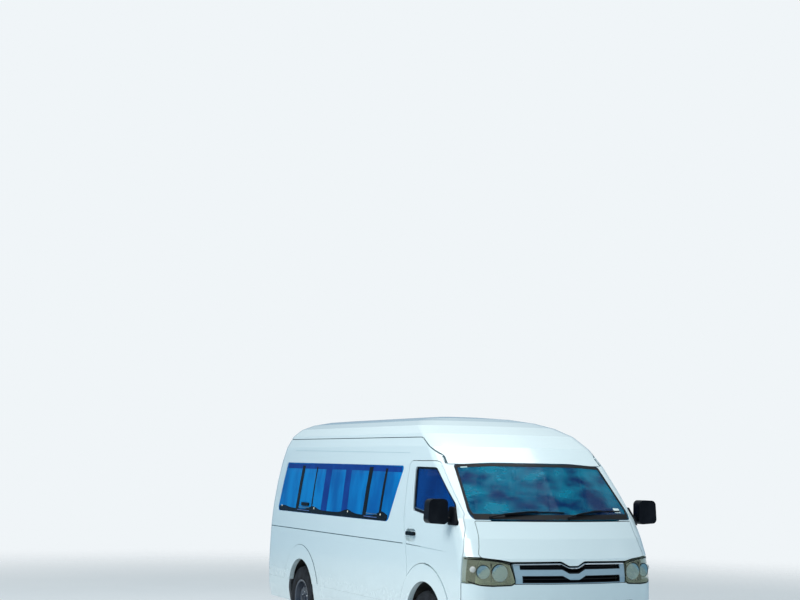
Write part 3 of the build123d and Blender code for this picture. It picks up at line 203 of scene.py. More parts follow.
def body_paint(name, inside):
    """Painted outside; inside gives the mask of the lined side from the wires of place and direction."""
    r = Recipe(name)
    place = r.place()
    film = (1 - place[2].above(0.62, 0.3)) * r.noise(9.0, 6.0)
    grain = r.noise(520.0, 2.0)
    peel = r.noise(190.0, 2.0)
    outside = r.mix(film * 0.6, PAINT_WHITE, PAINT_DUSTY)
    lined = inside(place, r.facing())
    cloth = r.mix(grain, TRIM_GREY, ROOF_LINING) if "roof" in name else TRIM_GREY
    base = r.mix(lined, outside, cloth)
    rough = lined * 0.5 + 0.24 + film * 0.12
    coat = 1 - lined
    return r.finish(r.shade(
        Base_Color=base, Roughness=rough, Coat_Weight=coat * 0.8, Coat_Roughness=0.06,
        Normal=r.bump(peel * 0.35 + grain * lined, 0.12, 0.0006), IOR=1.5))


def lined_side(hand):
    """Lined where a side faces inwards, more than 0.6 m from the middle and above the sills."""
    return lambda at, n: (n[1] * -hand).above(0.05, 0.05) * at[1].size().above(0.6) * at[2].above(0.5)


paint_right = body_paint("paint_right", lined_side(-1))
paint_left = body_paint("paint_left", lined_side(1))
paint_roof = body_paint("paint_roof", lambda at, n: (-n[2]).above(0.02, 0.02) * at[2].above(1.8))
paint_ends = body_paint("paint_ends", lambda at, n: (n[0] * at[0] * -1.0).above(0.1, 0.05))
print("paints:", [m.name for m in (paint_right, paint_left, paint_roof, paint_ends)])

# %% [markdown]
# ## Glass
# The side panes are tinted deep blue and the cabin behind them is dark, so they read as saturated blue
# mirrors with shadows of posts and seats. A thin pane needs no refraction: a glossy surface that
# lets a share of the light straight through renders faster and shows the cabin without bending it.

# %% Tinted and clear panes
def pane_glass(name, tint, through, deep, streak=0.35):
    """Tinted pane whose tint drifts between two tones; through is how much of the view behind it passes."""
    r = Recipe(name)
    smear = r.noise(3.2, 5.0, stretch=(1.0, 1.0, streak))
    return r.finish(r.shade(
        Base_Color=r.mix(smear.above(0.5, 0.16), colour(*deep), colour(*tint)), Alpha=1 - through, IOR=1.45,
        Roughness=smear * 0.03 + 0.012, Specular_IOR_Level=0.12, Specular_Tint=colour(120, 190, 240)))


side_glass = pane_glass("side_glass", (8, 138, 214), 0.26, (4, 98, 176))
door_glass = pane_glass("door_glass", (5, 72, 148), 0.34, (4, 50, 118))
screen_glass = pane_glass("screen_glass", (10, 128, 158), 0.34, (4, 48, 98), 2.4)
print("glass ready")

# %% [markdown]
# ## Plastics, rubber and metal
# Moulded plastic has a fine pebble grain, rubber is dull with a little bloom, and painted steel under
# the body collects dust. Each is the same recipe with other numbers.

# %% Grained and plain finishes
def moulded(name, base, rough=0.55, grain=900.0, depth=0.25, pale=None, metal=0.0, coat=0.0, shine=0.25):
    """A moulded or painted surface with a fine grain and a soft change from its base to a paler tone."""
    r = Recipe(name)
    base = colour(*base)
    pale = colour(*pale) if pale else tuple(min(1.0, part * 1.5 + 0.004) for part in base[:3]) + (1.0,)
    tone = r.noise(6.0, 5.0)
    pebble = r.noise(grain, 2.0)
    return r.finish(r.shade(
        Base_Color=r.mix(tone.above(0.58, 0.16), base, pale), Roughness=tone * 0.16 + (rough - 0.08),
        Metallic=metal, Coat_Weight=coat, Specular_IOR_Level=shine, Coat_Roughness=0.08,
        Normal=r.bump(pebble, depth, 0.0004)))


black_plastic = moulded("black_plastic", (9, 13, 20), 0.42, 700.0, 0.3, shine=0.12)
gloss_black = moulded("gloss_black", (5, 8, 14), 0.18, 300.0, 0.03, shine=0.12)
rubber_seal = moulded("rubber_seal", (14, 15, 17), 0.7, 400.0, 0.2)
dash_plastic = moulded("dash_plastic", (44, 48, 54), 0.62, 800.0, 0.5)
underbody = moulded("underbody", (30, 31, 33), 0.7, 260.0, 0.5, (70, 66, 60))
cast_metal = moulded("cast_metal", (84, 84, 84), 0.6, 160.0, 0.6, (110, 100, 88), metal=0.5)
exhaust_metal = moulded("exhaust_metal", (96, 88, 80), 0.5, 120.0, 0.4, (120, 84, 56), metal=0.8)
wheel_paint = moulded("wheel_paint", (70, 78, 90), 0.34, 500.0, 0.1, (100, 106, 112), metal=0.55, coat=0.3)
bright_ring = moulded("bright_ring", (196, 202, 206), 0.18, 500.0, 0.05, metal=1.0)
mirror_face = moulded("mirror_face", (200, 210, 216), 0.03, 200.0, 0.0, metal=1.0)
plate_blank = moulded("plate_blank", (226, 228, 222), 0.4, 400.0, 0.1)
carpet = moulded("carpet", (52, 54, 58), 0.95, 420.0, 1.0)
print("moulded finishes ready")


def grille_finish():
    """Grey paint on the bars and black in the two slots, whose middles dip into a V."""
    r = Recipe("grille_finish")
    x, y, z = r.place()
    aside = y.size()
    crisp = 0.0004
    dip = (0.112 - aside).top(0.0)
    dip = (0.066 - (0.066 - dip).top(0.0)) * 0.515
    upper = (z + dip).within(0.932, 0.9745, crisp) * (1 - aside.above(0.489, crisp))
    lower = z.above(0.823, crisp) * (1 - (z + dip).above(0.8825, crisp)) * (1 - aside.above(0.476, crisp))
    slots = upper.top(lower)
    bars = r.mix(r.noise(6.0, 5.0), colour(132, 160, 176), colour(148, 176, 190))
    return r.finish(r.shade(
        Base_Color=r.mix(slots, bars, colour(6, 9, 16)), Roughness=slots * 0.3 + 0.26,
        Coat_Weight=0.4 - slots * 0.4, Coat_Roughness=0.05, Specular_IOR_Level=0.3))


grille_grey = grille_finish()


def tyre_rubber():
    """Dull black with the pale bloom and scuffs of an old sidewall."""
    r = Recipe("tyre_rubber")
    tone = r.noise(14.0, 6.0)
    base = r.mix(tone.above(0.6, 0.2), colour(22, 24, 28), colour(46, 50, 56))
    return r.finish(r.shade(Base_Color=base, Roughness=tone * 0.2 + 0.62, Specular_IOR_Level=0.2,
                            Normal=r.bump(r.noise(260.0, 3.0), 0.35, 0.0006)))


tyre_black = tyre_rubber()


def woven_cloth(name, base, light):
    """Seat cloth: two sets of threads that cross, with a slow change of tone."""
    r = Recipe(name)
    base, light = colour(*base), colour(*light)
    x, y, z = r.place()
    threads = 2400.0
    weave = (y * threads).wave() * ((x + z) * threads).wave()
    tone = r.noise(26.0, 5.0)
    worn = r.mix(tone.above(0.55, 0.2), r.mix(weave.above(0.0, 0.7), base, light), light)
    return r.finish(r.shade(Base_Color=worn, Roughness=0.93, Sheen_Weight=0.3, Sheen_Roughness=0.5,
                            Normal=r.bump(weave * 0.6 + tone, 0.4, 0.0008)))


seat_cloth = woven_cloth("seat_cloth", (58, 66, 78), (92, 102, 116))
piping = woven_cloth("piping", (30, 34, 40), (44, 48, 56))
print("cloth and rubber ready")

# %% [markdown]
# ## Lenses, bands and small finishes
# A lamp lens is clear plastic that has yellowed a little, so it lets most light through and adds a warm
# tint. The bands printed on the glass are nearly black. A few small things get pale plastic or bright metal.

# %% Lenses and bands
def clear_cover(name, tint, through, rough=0.05, ribs=0.0):
    """A clear or coloured lens; ribs adds fine upright flutes."""
    r = Recipe(name)
    tint = colour(*tint)
    x, y, z = r.place()
    haze = r.noise(7.0, 5.0)
    flutes = (y * 620.0).wave() * ribs
    darker = tuple(part * 0.86 for part in tint[:3]) + (1.0,)
    return r.finish(r.shade(
        Base_Color=r.mix(haze.above(0.5, 0.2), tint, darker), Roughness=haze * 0.06 + rough,
        Alpha=(1 - through) + haze * 0.05, IOR=1.5, Specular_IOR_Level=0.3, Coat_Weight=0.25,
        Coat_Roughness=0.03, Normal=r.bump(flutes + haze * 0.1, 0.15, 0.0008)))


lamp_lens = clear_cover("lamp_lens", (196, 204, 176), 0.84, 0.04, 0.1)
red_lens = clear_cover("red_lens", (170, 16, 18), 0.08, 0.1, 1.0)
amber_lens = clear_cover("amber_lens", (226, 120, 20), 0.1, 0.1, 1.0)
clear_field = clear_cover("clear_field", (214, 218, 216), 0.2, 0.1, 1.0)
lamp_inside = moulded("lamp_inside", (128, 144, 120), 0.3, 60.0, 0.35, (186, 196, 160), metal=0.5)
bowl_metal = moulded("bowl_metal", (206, 222, 214), 0.14, 46.0, 1.0, (236, 240, 224), metal=1.0)
bulb_glass = moulded("bulb_glass", (222, 226, 230), 0.08, 90.0, 0.02, coat=1.0)
tinted_band = moulded("tinted_band", (3, 50, 128), 0.2, 300.0, 0.03, (5, 60, 142), shine=0.1)
# painted shade: the dark line that a pressed groove, the gutter seam or a flare's step casts on the white
# paint
painted_groove_shade = moulded("painted_groove_shade", (58, 84, 92), 0.6, 500.0, 0.1, (70, 96, 104))
# painted shade: a softer line, a little darker than the paint, along a soft pressed fold
painted_crease_shade = moulded("painted_crease_shade", (150, 180, 188), 0.5, 500.0, 0.1, (158, 188, 196))
pale_plastic = moulded("pale_plastic", (206, 206, 190), 0.4, 500.0, 0.1)
door_black = moulded("door_black", (6, 9, 14), 0.38, 500.0, 0.12, shine=0.12)
rail_grey = moulded("rail_grey", (70, 96, 150), 0.3, 300.0, 0.1)
dark_metal = moulded("dark_metal", (52, 56, 62), 0.36, 300.0, 0.1, metal=0.7)
paper = moulded("paper", (200, 222, 222), 0.7, 300.0, 0.1)
print("small finishes ready")

# %% [markdown]
# ## Dress the pieces
# Each piece of the imported model takes one finish. Meshes come in with split corners.

# %% One finish a piece
FINISH = {
    paint_roof: "roof_panel",
    paint_right: "side_panel_right front_door_right",
    paint_left: "side_panel_left front_door_left sliding_door",
    paint_ends: "front_fenders hood front_bumper rear_bumper sills tailgate",
    side_glass: "side_glass tailgate_glass",
    door_glass: "front_door_glass_right front_door_glass_left",
    screen_glass: "windscreen",
    black_plastic: "mirror_right mirror_left intake_bars steering_column front_wall",
    gloss_black: "door_handle_right door_handle_left sliding_door_handle steering_wheel",
    grille_grey: "grille",
    dash_plastic: "dashboard",
    carpet: "floor_pan engine_cover",
    underbody: "chassis_frame bumper_beam rear_axle propeller_shaft rear_springs fuel_tank front_suspension "
               "knuckle_left knuckle_right tow_eyes seat_legs wheel_wells",
    exhaust_metal: "exhaust",
    cast_metal: "engine_block",
    wheel_paint: "rim_front_right rim_front_left rim_rear_right rim_rear_left",
    tyre_black: "tyre_front_right tyre_front_left tyre_rear_right tyre_rear_left spare_wheel",
    seat_cloth: "front_seats rear_seats",
    rubber_seal: "door_stops",
    lamp_lens: "headlamp_lenses",
    lamp_inside: "headlamp_cases",
    red_lens: "tail_lamps",
}
for material, names in FINISH.items():
    for name in names.split():
        mesh = nodes[name].data
        mesh.materials.clear()
        mesh.materials.append(material)
bare = [name for name, piece in nodes.items() if not piece.data.materials]
print("pieces without a finish:", bare)

# %% [markdown]
# ## Lay things on the body
# Trim, bands and lamps follow curved panels. A ray shot at the panel finds the spot under each point of
# a flat pattern, and the pattern is lifted off it by a fraction of a millimetre. This is how
# a strip drawn in side view comes to lie on a bulging pane without a gap.

# %% Rays, strips and turned parts
WAYS = {
    "right": (lambda a, b: Vector((a, -2.0, b)), Vector((0, 1, 0))),
    "left": (lambda a, b: Vector((a, 2.0, b)), Vector((0, -1, 0))),
    "front": (lambda a, b: Vector((4.0, a, b)), Vector((-1, 0, 0))),
    "rear": (lambda a, b: Vector((-4.0, a, b)), Vector((1, 0, 0))),
    "top": (lambda a, b: Vector((a, b, 4.0)), Vector((0, 0, -1))),
}
SIDES = (("right", -1), ("left", 1))
AXIS = 0.0001  # a profile starts this close to its axis, so that its end has an area


def tree_of(names):
    """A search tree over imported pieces, or over pieces made here."""
    gathered = bmesh.new()
    for name in names.split():
        gathered.from_mesh((nodes[name] if name in nodes else bpy.data.objects[name]).data)
    tree = BVHTree.FromBMesh(gathered)
    gathered.free()
    return tree


def touch(tree, way, a, b):
    """The spot a ray meets, and the surface's direction towards the viewer."""
    start, direction = WAYS[way]
    hit, normal, _, _ = tree.ray_cast(start(a, b), direction)
    if hit is None:
        return None, None
    return hit, -normal if normal.dot(direction) > 0 else normal


def put(name, data):
    """A new object in the scene."""
    made = bpy.data.objects.new(name, data)
    bpy.context.scene.collection.objects.link(made)
    return made


def piece(name, vertices, faces, material, body="body", slot=None, smooth=40.0):
    """A new mesh that rides on a body."""
    mesh = bpy.data.meshes.new(name)
    mesh.from_pydata([tuple(v) for v in vertices], [], faces)
    mesh.validate()
    mesh.materials.append(material)
    made = put(name, mesh)
    tidy = bmesh.new()
    tidy.from_mesh(mesh)
    bmesh.ops.recalc_face_normals(tidy, faces=tidy.faces)
    tidy.to_mesh(mesh)
    tidy.free()
    mesh.shade_smooth()
    mesh.set_sharp_from_angle(angle=math.radians(smooth))
    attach(made, body)
    return made


def sheet_of(rows, thick):
    """Vertices and faces of a closed slab from rows of (spot, direction)."""
    high, wide = len(rows), len(rows[0])
    top = [spot + way * thick for row in rows for spot, way in row]
    low = [spot for row in rows for spot, way in row]
    count = high * wide
    faces = []
    for i in range(high - 1):
        for j in range(wide - 1):
            a, b, c, d = i * wide + j, i * wide + j + 1, (i + 1) * wide + j + 1, (i + 1) * wide + j
            faces.append((a, b, c, d))
            faces.append((a + count, d + count, c + count, b + count))
    rim = list(range(wide)) + [i * wide + wide - 1 for i in range(1, high)]
    rim += [(high - 1) * wide + j for j in range(wide - 2, -1, -1)]
    rim += [i * wide for i in range(high - 2, 0, -1)]
    for a, b in zip(rim, rim[1:] + rim[:1]):
        faces.append((a, b, b + count, a + count))
    return top + low, faces


def along(line, share):
    """The point at a share of a line's length."""
    lengths = [math.dist(p, q) for p, q in zip(line, line[1:])]
    left = share * sum(lengths)
    for p, q, length in zip(line, line[1:], lengths):
        if left <= length or q is line[-1]:
            t = min(1.0, left / length) if length else 0.0
            return tuple(a + (b - a) * t for a, b in zip(p, q))
        left -= length


def laid(tree, way, p, q, cuts, lift):
    """A row of (spot, direction) on the body between two points of the view; None where a ray misses."""
    row = []
    for k in range(cuts + 1):
        t = k / cuts
        hit, normal = touch(tree, way, p[0] + (q[0] - p[0]) * t, p[1] + (q[1] - p[1]) * t)
        row.append(None if hit is None else (hit + normal * lift, normal))
    return row


def patch(name, tree, way, first, second, material, cuts, lift, thick=0.0008):
    """A slab laid on the body between two lines drawn in that view."""
    shares = [i / cuts[0] for i in range(cuts[0] + 1)]
    rows = [laid(tree, way, along(first, t), along(second, t), cuts[1], lift) for t in shares]
    known = [spot for row in rows for spot in row if spot]
    for row in rows:
        stand_in = next((spot for spot in row if spot), known[0])
        row[:] = [spot or stand_in for spot in row]
    return piece(name, *sheet_of(rows, thick), material)


def ribbon(name, tree, way, line, width, material, cuts, lift, thick, body="body", slot=None):
    """A narrow strip along a line."""
    points = [along(line, i / cuts) for i in range(cuts + 1)]
    rows = []
    for i, (x, y) in enumerate(points):
        a, b = points[max(0, i - 1)], points[min(cuts, i + 1)]
        length = math.dist(a, b) or 1.0
        aside = (-(b[1] - a[1]) / length * width / 2, (b[0] - a[0]) / length * width / 2)
        row = laid(tree, way, (x + aside[0], y + aside[1]), (x - aside[0], y - aside[1]), 2, lift)
        known = [spot for spot in row if spot]
        if known:
            rows.append([spot or known[0] for spot in row])
    return piece(name, *sheet_of(rows, thick), material, body, slot)


def ribbons(way, mark, rows):
    """Several ribbons seen from one way. Each row has a name, a tree and the rest of what a ribbon takes."""
    for name, tree, *rest in rows:
        ribbon(name + mark, tree, way, *rest)


def frame_at(centre, axis, up=(0, 0, 1)):
    """A matrix whose Z looks along axis, for parts drawn round Z."""
    z = Vector(axis).normalized()
    x = Vector(up).cross(z)
    x = x.normalized() if x.length > 1e-6 else Vector((1, 0, 0))
    turn = Matrix((x, z.cross(x), z)).transposed().to_4x4()
    return Matrix.Translation(Vector(centre)) @ turn


def round_z(place, radius, angle, height):
    """A point at an angle round a place's Z."""
    return place @ Vector((radius * math.cos(angle), radius * math.sin(angle), height))


def spun(place, profile, segments):
    """Rings of vertices, one for each (radius, height) of a profile."""
    turns = [2 * math.pi * k / segments for k in range(segments)]
    return [round_z(place, radius, angle, height) for radius, height in profile for angle in turns]


def skin_of(rings, segments, closed=False):
    """Faces between rings. A closed skin joins the last ring to the first, an open one has capped ends."""
    faces = []
    for i in range(rings if closed else rings - 1):
        j = (i + 1) % rings
        for k in range(segments):
            n = (k + 1) % segments
            faces.append((i * segments + k, i * segments + n, j * segments + n, j * segments + k))
    if not closed:
        faces += [tuple(range(segments)), tuple((rings - 1) * segments + k for k in range(segments))]
    return faces


def turned(name, profile, centre, axis, material, segments, body="body", slot=None, smooth=40.0):
    """A part spun from a profile of (radius, height)."""
    vertices = spun(frame_at(centre, axis), profile, segments)
    return piece(name, vertices, skin_of(len(profile), segments), material, body, slot, smooth)


def rounded(points, steps=5):
    """Corner points (a, b, radius) as a smooth closed outline."""
    outline = []
    for i, (a, b, radius) in enumerate(points):
        if radius <= 0:
            outline.append((a, b))
            continue
        before, after = Vector(points[i - 1][:2]), Vector(points[(i + 1) % len(points)][:2])
        corner = Vector((a, b))
        start = corner + (before - corner).normalized() * radius
        end = corner + (after - corner).normalized() * radius
        for k in range(steps + 1):
            t = k / steps
            outline.append(tuple(start * (1 - t) ** 2 + corner * 2 * t * (1 - t) + end * t ** 2))
    return outline


def oblong(half_wide, half_high, radius):
    a, b = half_wide, half_high
    return rounded([(-a, -b, radius), (a, -b, radius), (a, b, radius), (-a, b, radius)])


def slab(name, outline, place, thick, material, bevel, body="body"):
    """A flat plate with an outline in its own plane."""
    count = len(outline)
    vertices = [place @ Vector((a, b, height)) for height in (thick, 0) for a, b in outline]
    faces = [tuple(range(count)), tuple(range(2 * count - 1, count - 1, -1))]
    faces += [(i, (i + 1) % count, (i + 1) % count + count, i + count) for i in range(count)]
    made = piece(name, vertices, faces, material, body)
    edge = made.modifiers.new("edge", "BEVEL")
    edge.width = bevel
    edge.segments = 3
    edge.limit_method = "ANGLE"
    edge.angle_limit = math.radians(50)
    return made


def rod(name, path, radius, material, segments=10, body="body", slot=None):
    """A round bar along a path of points."""
    path = [Vector(p) for p in path]
    vertices = []
    for i, point in enumerate(path):
        direction = (path[min(i + 1, len(path) - 1)] - path[max(i - 1, 0)]).normalized()
        vertices += spun(frame_at(point, direction, (0.13, 0.2, 1)), [(radius, 0)], segments)
    return piece(name, vertices, skin_of(len(path), segments), material, body, slot)


glass_skin = tree_of("side_glass")
door_panes = tree_of("front_door_glass_right front_door_glass_left")
screen_skin = tree_of("windscreen")
nose_skin = tree_of("hood front_bumper grille front_fenders")
door_skin = tree_of("front_door_right front_door_left")
tail_skin = tree_of("tailgate tailgate_glass tail_lamps")
SIDE_PIECES = "side_panel_right side_panel_left sliding_door roof_panel"
side_skin = tree_of(SIDE_PIECES)
print("search trees ready")

# %% [markdown]
# ## Corner panels
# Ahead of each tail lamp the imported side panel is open. A curved panel closes it: its bulge is read
# from the metal above and below the opening, and a parabola through those heights gives the rest.

# %% Panels ahead of the tail lamps
CORNER_X, CORNER_Z = (-2.5558, -2.1496), (0.8492, 1.2508)
KNOWN_Z = (0.79, 0.846, 1.2535)
SHEET = 0.003


def parabola(known, z):
    """The height at z of the parabola through three known (z, y)."""
    y = 0.0
    for a, y_a in known:
        share = 1.0
        for b, _ in known:
            if b != a:
                share *= (z - b) / (a - b)
        y += y_a * share
    return y


for way, hand in SIDES:
    outwards = Vector((0, hand, 0))
    rows = []
    for i in range(33):
        x = CORNER_X[0] + (CORNER_X[1] - CORNER_X[0]) * i / 32
        known = [(z, touch(side_skin, way, x, z)[0].y) for z in KNOWN_Z]
        heights = [CORNER_Z[0] + (CORNER_Z[1] - CORNER_Z[0]) * k / 24 for k in range(25)]
        rows.append([(Vector((x, parabola(known, z), z)) - outwards * SHEET, outwards) for z in heights])
    piece(f"corner_panel_{way}", *sheet_of(rows, SHEET), paint_right if way == "right" else paint_left)
side_skin = tree_of(SIDE_PIECES + " corner_panel_right corner_panel_left")
print("corner panels from x", CORNER_X, "and z", CORNER_Z)

# %% [markdown]
# ## Side windows
# Each long window is two units of a fixed pane, a sliding pane and another fixed pane. From outside
# they show as upright black posts, thin edges of the sliding panes, painted shade of the dark body pillars
# behind the glass, and a black printed band that keeps the sun off the glue. All of it is thin, so it is laid
# on the glass.

# %% Posts, bands and ledges
LOW, HIGH = 1.315, 1.75
# name: x at HIGH and at LOW, width, foot, head, finish, height above the pane
POSTS = {
    "post_rear": (-1.57, -1.645, 0.086, 1.262, 1.762, gloss_black, 0.001),
    "post_front": (0.309, 0.247, 0.09, 1.262, 1.762, gloss_black, 0.001),
    "edge_rear": (-1.156, -1.208, 0.03, 1.3, 1.752, gloss_black, 0.0008),
    "edge_front": (0.684, 0.62, 0.05, 1.3, 1.752, gloss_black, 0.0008),
    # shade_rear and shade_front are painted shade: dark blue bands laid on the pane where body pillars stand
    # behind it
    "shade_rear": (-0.803, -0.848, 0.165, 1.3, 1.755, tinted_band, 0.0002),
    "shade_front": (-0.263, -0.277, 0.15, 1.3, 1.755, tinted_band, 0.0002),
}
HEADER = {"right": [(-2.085, 1.784), (-0.16, 1.783), (1.03, 1.772)],
          "left": [(-2.085, 1.784), (-0.15, 1.783)]}
HEADER_DEEP = 0.054
# the band along the foot swells between the posts: middle, reach and height of each swell
SWELLS = ((-2.08, 0.24, 0.022), (-1.17, 0.24, 0.036), (-0.2, 0.22, 0.036), (0.66, 0.2, 0.046))
BAND_X = {"right": (-2.243, 0.8), "left": (-2.243, -0.14)}
BAND_TOP, BAND_FOOT, BAND_STEPS = 1.3, 1.2605, 90
BUTTONS = (-2.15, -1.13, -0.18, 0.636)
BUTTON = [(AXIS, 0.0035), (0.006, 0.0033), (0.0095, 0.002), (0.0105, 0.0)]
LEDGES = (("rear", -1.6, -1.27), ("front", 0.29, 0.56))

for way, _ in SIDES:
    for name, (x_high, x_low, width, foot, head, look, lift) in POSTS.items():
        slope = (x_high - x_low) / (HIGH - LOW)
        middle = [(x_low + slope * (z - LOW), z) for z in (foot, head)]
        edges = [[(x + aside, z) for x, z in middle] for aside in (-width / 2, width / 2)]
        patch(f"window_{name}_{way}", glass_skin, way, *edges, look, (20, 3), lift)
    low_edge = [(x, z - HEADER_DEEP) for x, z in HEADER[way]]
    patch(f"window_header_{way}", glass_skin, way, HEADER[way], low_edge, tinted_band, (60, 2), 0.0002)
    start, end = BAND_X[way]
    band = []
    for i in range(BAND_STEPS + 1):
        x = start + (end - start) * i / BAND_STEPS
        swell = sum(height * math.exp(-((x - middle) / reach) ** 2 * 2.2) for middle, reach, height in SWELLS)
        band.append((x, BAND_TOP + swell))
    foot_line = [(x, BAND_FOOT) for x, _ in band]
    patch(f"window_band_{way}", glass_skin, way, band, foot_line, gloss_black, (BAND_STEPS, 3), 0.0006)
    # the sliding door has no foremost button and no front ledge
    left_out = int(way == "left")
    for index, x in enumerate(BUTTONS[:len(BUTTONS) - left_out]):
        spot, normal = touch(glass_skin, way, x, 1.316)
        turned(f"window_button_{index}_{way}", BUTTON, spot + normal * 0.0014, normal, pale_plastic, 20)
    for end, x, x_to in LEDGES[:len(LEDGES) - left_out]:
        ledge, rail = [(x, 1.318), (x_to, 1.316)], [(x - 0.04, 1.288), (x_to, 1.285)]
        ribbons(way, f"_{end}_{way}", (
            ("window_ledge", glass_skin, ledge, 0.007, bright_ring, 12, 0.0012, 0.003),
            ("window_rail", glass_skin, rail, 0.007, rail_grey, 12, 0.0012, 0.004)))
    latch = [(-1.5, 1.352), (-1.29, 1.35)]
    ribbon(f"window_latch_{way}", glass_skin, way, latch, 0.036, door_black, 12, 0.0012, 0.012)
print("side window trim laid")

# %% [markdown]
# ## Seams and creases
# Pressed panels meet in gaps and folds that are finer than the solids. A ribbon of painted shade, darker than
# the paint, marks the gutter under the roof, the groove at waist height, the soft fold above the windows and
# the flares round the arches, where these grooves, folds and steps would be in shade.

# %% Seams and creases
GUTTER = [(-2.62, 2.0515), (1.28, 2.044), (1.33, 2.04), (1.376, 2.022), (1.662, 1.897), (1.7, 1.879),
          (1.732, 1.853), (1.79, 1.808)]
WAIST_END = {"right": 1.178, "left": -0.05}
# where a flare is, the x of its hub and the angles between which its line shows
FLARES = (("front", 1.65, 133, 180), ("rear", -1.46, 8, 172))
FLARE_R, FLARE_Z = 0.5355, 0.385
rear_skin = tree_of("roof_panel side_panel_right side_panel_left")
# painted shade: the dark line in the gutter seam across the rear
ribbon("gutter_seam_rear", rear_skin, "rear", [(-0.8, 2.0515), (0.8, 2.0515)], 0.0066, painted_groove_shade, 120, 0.0002,
       0.0006)
for way, _ in SIDES:
    door = f"front_door_{way}"
    waist = [(-2.6, 1.0825), (WAIST_END[way], 1.0785)]
    door_waist, door_fade = [(1.262, 1.0775), (1.56, 1.071)], [(1.56, 1.071), (2.0, 1.056)]
    ribbons(way, f"_{way}", (
        # painted shade: dark lines in the gutter seam and the waist grooves
        ("gutter_seam", side_skin, GUTTER, 0.0066, painted_groove_shade, 220, 0.0002, 0.0006),
        # painted shade: softer darker lines along the soft folds of the upper crease and the door waist
        ("upper_crease", side_skin, [(-1.93, 1.926), (1.15, 1.9)], 0.0045, painted_crease_shade, 120, 0.0001, 0.0003),
        ("waist_groove", side_skin, waist, 0.0075, painted_groove_shade, 160, 0.0002, 0.0005),
        ("door_waist_groove", door_skin, door_waist, 0.0065, painted_groove_shade, 40, 0.0002, 0.0005, door),
        ("door_waist_fade", door_skin, door_fade, 0.0035, painted_crease_shade, 40, 0.0002, 0.0004, door)))
    for end, x, first, last in FLARES:
        turns = [math.radians(angle) for angle in range(first, last + 1, 3)]
        ring = [(x + FLARE_R * math.cos(turn), FLARE_Z + FLARE_R * math.sin(turn)) for turn in turns]
        # painted shade: a dark line at the pressed step of each flare
        ribbon(f"flare_line_{end}_{way}", side_skin, way, ring, 0.0035, painted_groove_shade, 90, 0.0002, 0.0004)
print("seams laid")

# %% [markdown]
# ## Door seals
# The panes of the front doors sit in black rubber, with a bright belt strip along their foot. These ribbons
# ride on the doors, so they swing out with them.

# %% Door seals and belt strips
REAR_SEAL = [(1.38, 1.4), (1.347, 1.76)]
BELT = [(1.366, 1.398), (1.8, 1.346), (2.13, 1.305), (2.214, 1.296)]
BRIGHT = [(1.372, 1.41), (1.8, 1.357), (2.1, 1.321)]
TOP_SEAL = [(1.34, 1.764), (1.74, 1.76), (1.84, 1.684), (2.1, 1.466), (2.2, 1.34)]
for way, _ in SIDES:
    door = f"front_door_{way}"
    ribbons(way, f"_{way}", (
        ("door_rear_seal", door_panes, REAR_SEAL, 0.034, door_black, 20, 0.001, 0.005, door),
        ("door_belt", door_panes, BELT, 0.022, door_black, 40, 0.001, 0.008, door),
        ("door_belt_bright", door_panes, BRIGHT, 0.005, bright_ring, 40, 0.004, 0.006, door),
        ("door_top_seal", door_panes, TOP_SEAL, 0.014, door_black, 70, 0.001, 0.005, door)))
print("door seals laid")

# %% [markdown]
# ## Windscreen and wipers
# The screen carries a printed black band round its edge and two long wipers parked along its foot.
# A wiper is an arm from a capped pivot, and a blade: a flat spring with a rubber lip
# under it. The rear-view mirror hangs inside, and a small blank label sits low in a corner.

# %% Printed band, wipers and label
SCREEN_FOOT = [(-0.772, 1.362), (0.0, 1.358), (0.772, 1.362)]
SCREEN_TOP = [(-0.722, 1.786), (-0.4, 1.802), (0.4, 1.802), (0.722, 1.786)]
SCREEN_SIDE = ((0.77, 1.37), (0.782, 1.42), (0.757, 1.587), (0.728, 1.79))
SIDE_MIRRORED = [(-y, z) for y, z in SCREEN_SIDE]
ribbons("front", "", (
    ("screen_foot_band", screen_skin, SCREEN_FOOT, 0.044, door_black, 60, 0.0003, 0.0005),
    ("screen_top_band", screen_skin, SCREEN_TOP, 0.026, door_black, 60, 0.0003, 0.0005),
    ("screen_side_band_0", screen_skin, SIDE_MIRRORED, 0.022, door_black, 50, 0.0003, 0.0005),
    ("screen_side_band_2", screen_skin, SCREEN_SIDE, 0.022, door_black, 50, 0.0003, 0.0005),
    ("screen_label", screen_skin, [(0.64, 1.415), (0.712, 1.412)], 0.04, paper, 8, 0.0005, 0.0004),
    ("screen_mark", screen_skin, [(-0.69, 1.776), (-0.63, 1.78)], 0.008, paper, 8, 0.0008, 0.0004)))


def wiper(name, pivot, blade_from, blade_to):
    """An arm and a blade parked on the screen; the points are (y, z) in front view."""
    foot, way = touch(screen_skin, "front", *pivot)
    cap = [(AXIS, 0.02), (0.009, 0.019), (0.014, 0.014), (0.016, 0.0)]
    turned(f"{name}_cap", cap, foot + way * 0.001, way, black_plastic, 24)
    blade = []
    for k in range(25):
        t = k / 24
        y = blade_from[0] + (blade_to[0] - blade_from[0]) * t
        z = blade_from[1] + (blade_to[1] - blade_from[1]) * t + 0.012 * math.sin(math.pi * t)
        spot, normal = touch(screen_skin, "front", y, z)
        if spot is not None:
            blade.append((spot, normal))
    rod(f"{name}_rubber", [p + n * 0.0045 for p, n in blade], 0.0035, rubber_seal, 6)
    rod(f"{name}_spring", [p + n * 0.0105 for p, n in blade], 0.0042, black_plastic, 8)
    spot, normal = blade[int(len(blade) * 0.55)]
    arm = [foot + way * 0.012, foot.lerp(spot, 0.3) + way * 0.03, foot.lerp(spot, 0.75) + way * 0.028,
           spot + normal * 0.018, spot + normal * 0.0135]
    rod(f"{name}_arm", arm, 0.0065, black_plastic)
    turned(f"{name}_clip", [(AXIS, 0.01), (0.009, 0.009), (0.011, 0.0)], spot + normal * 0.009, normal,
           black_plastic, 16)


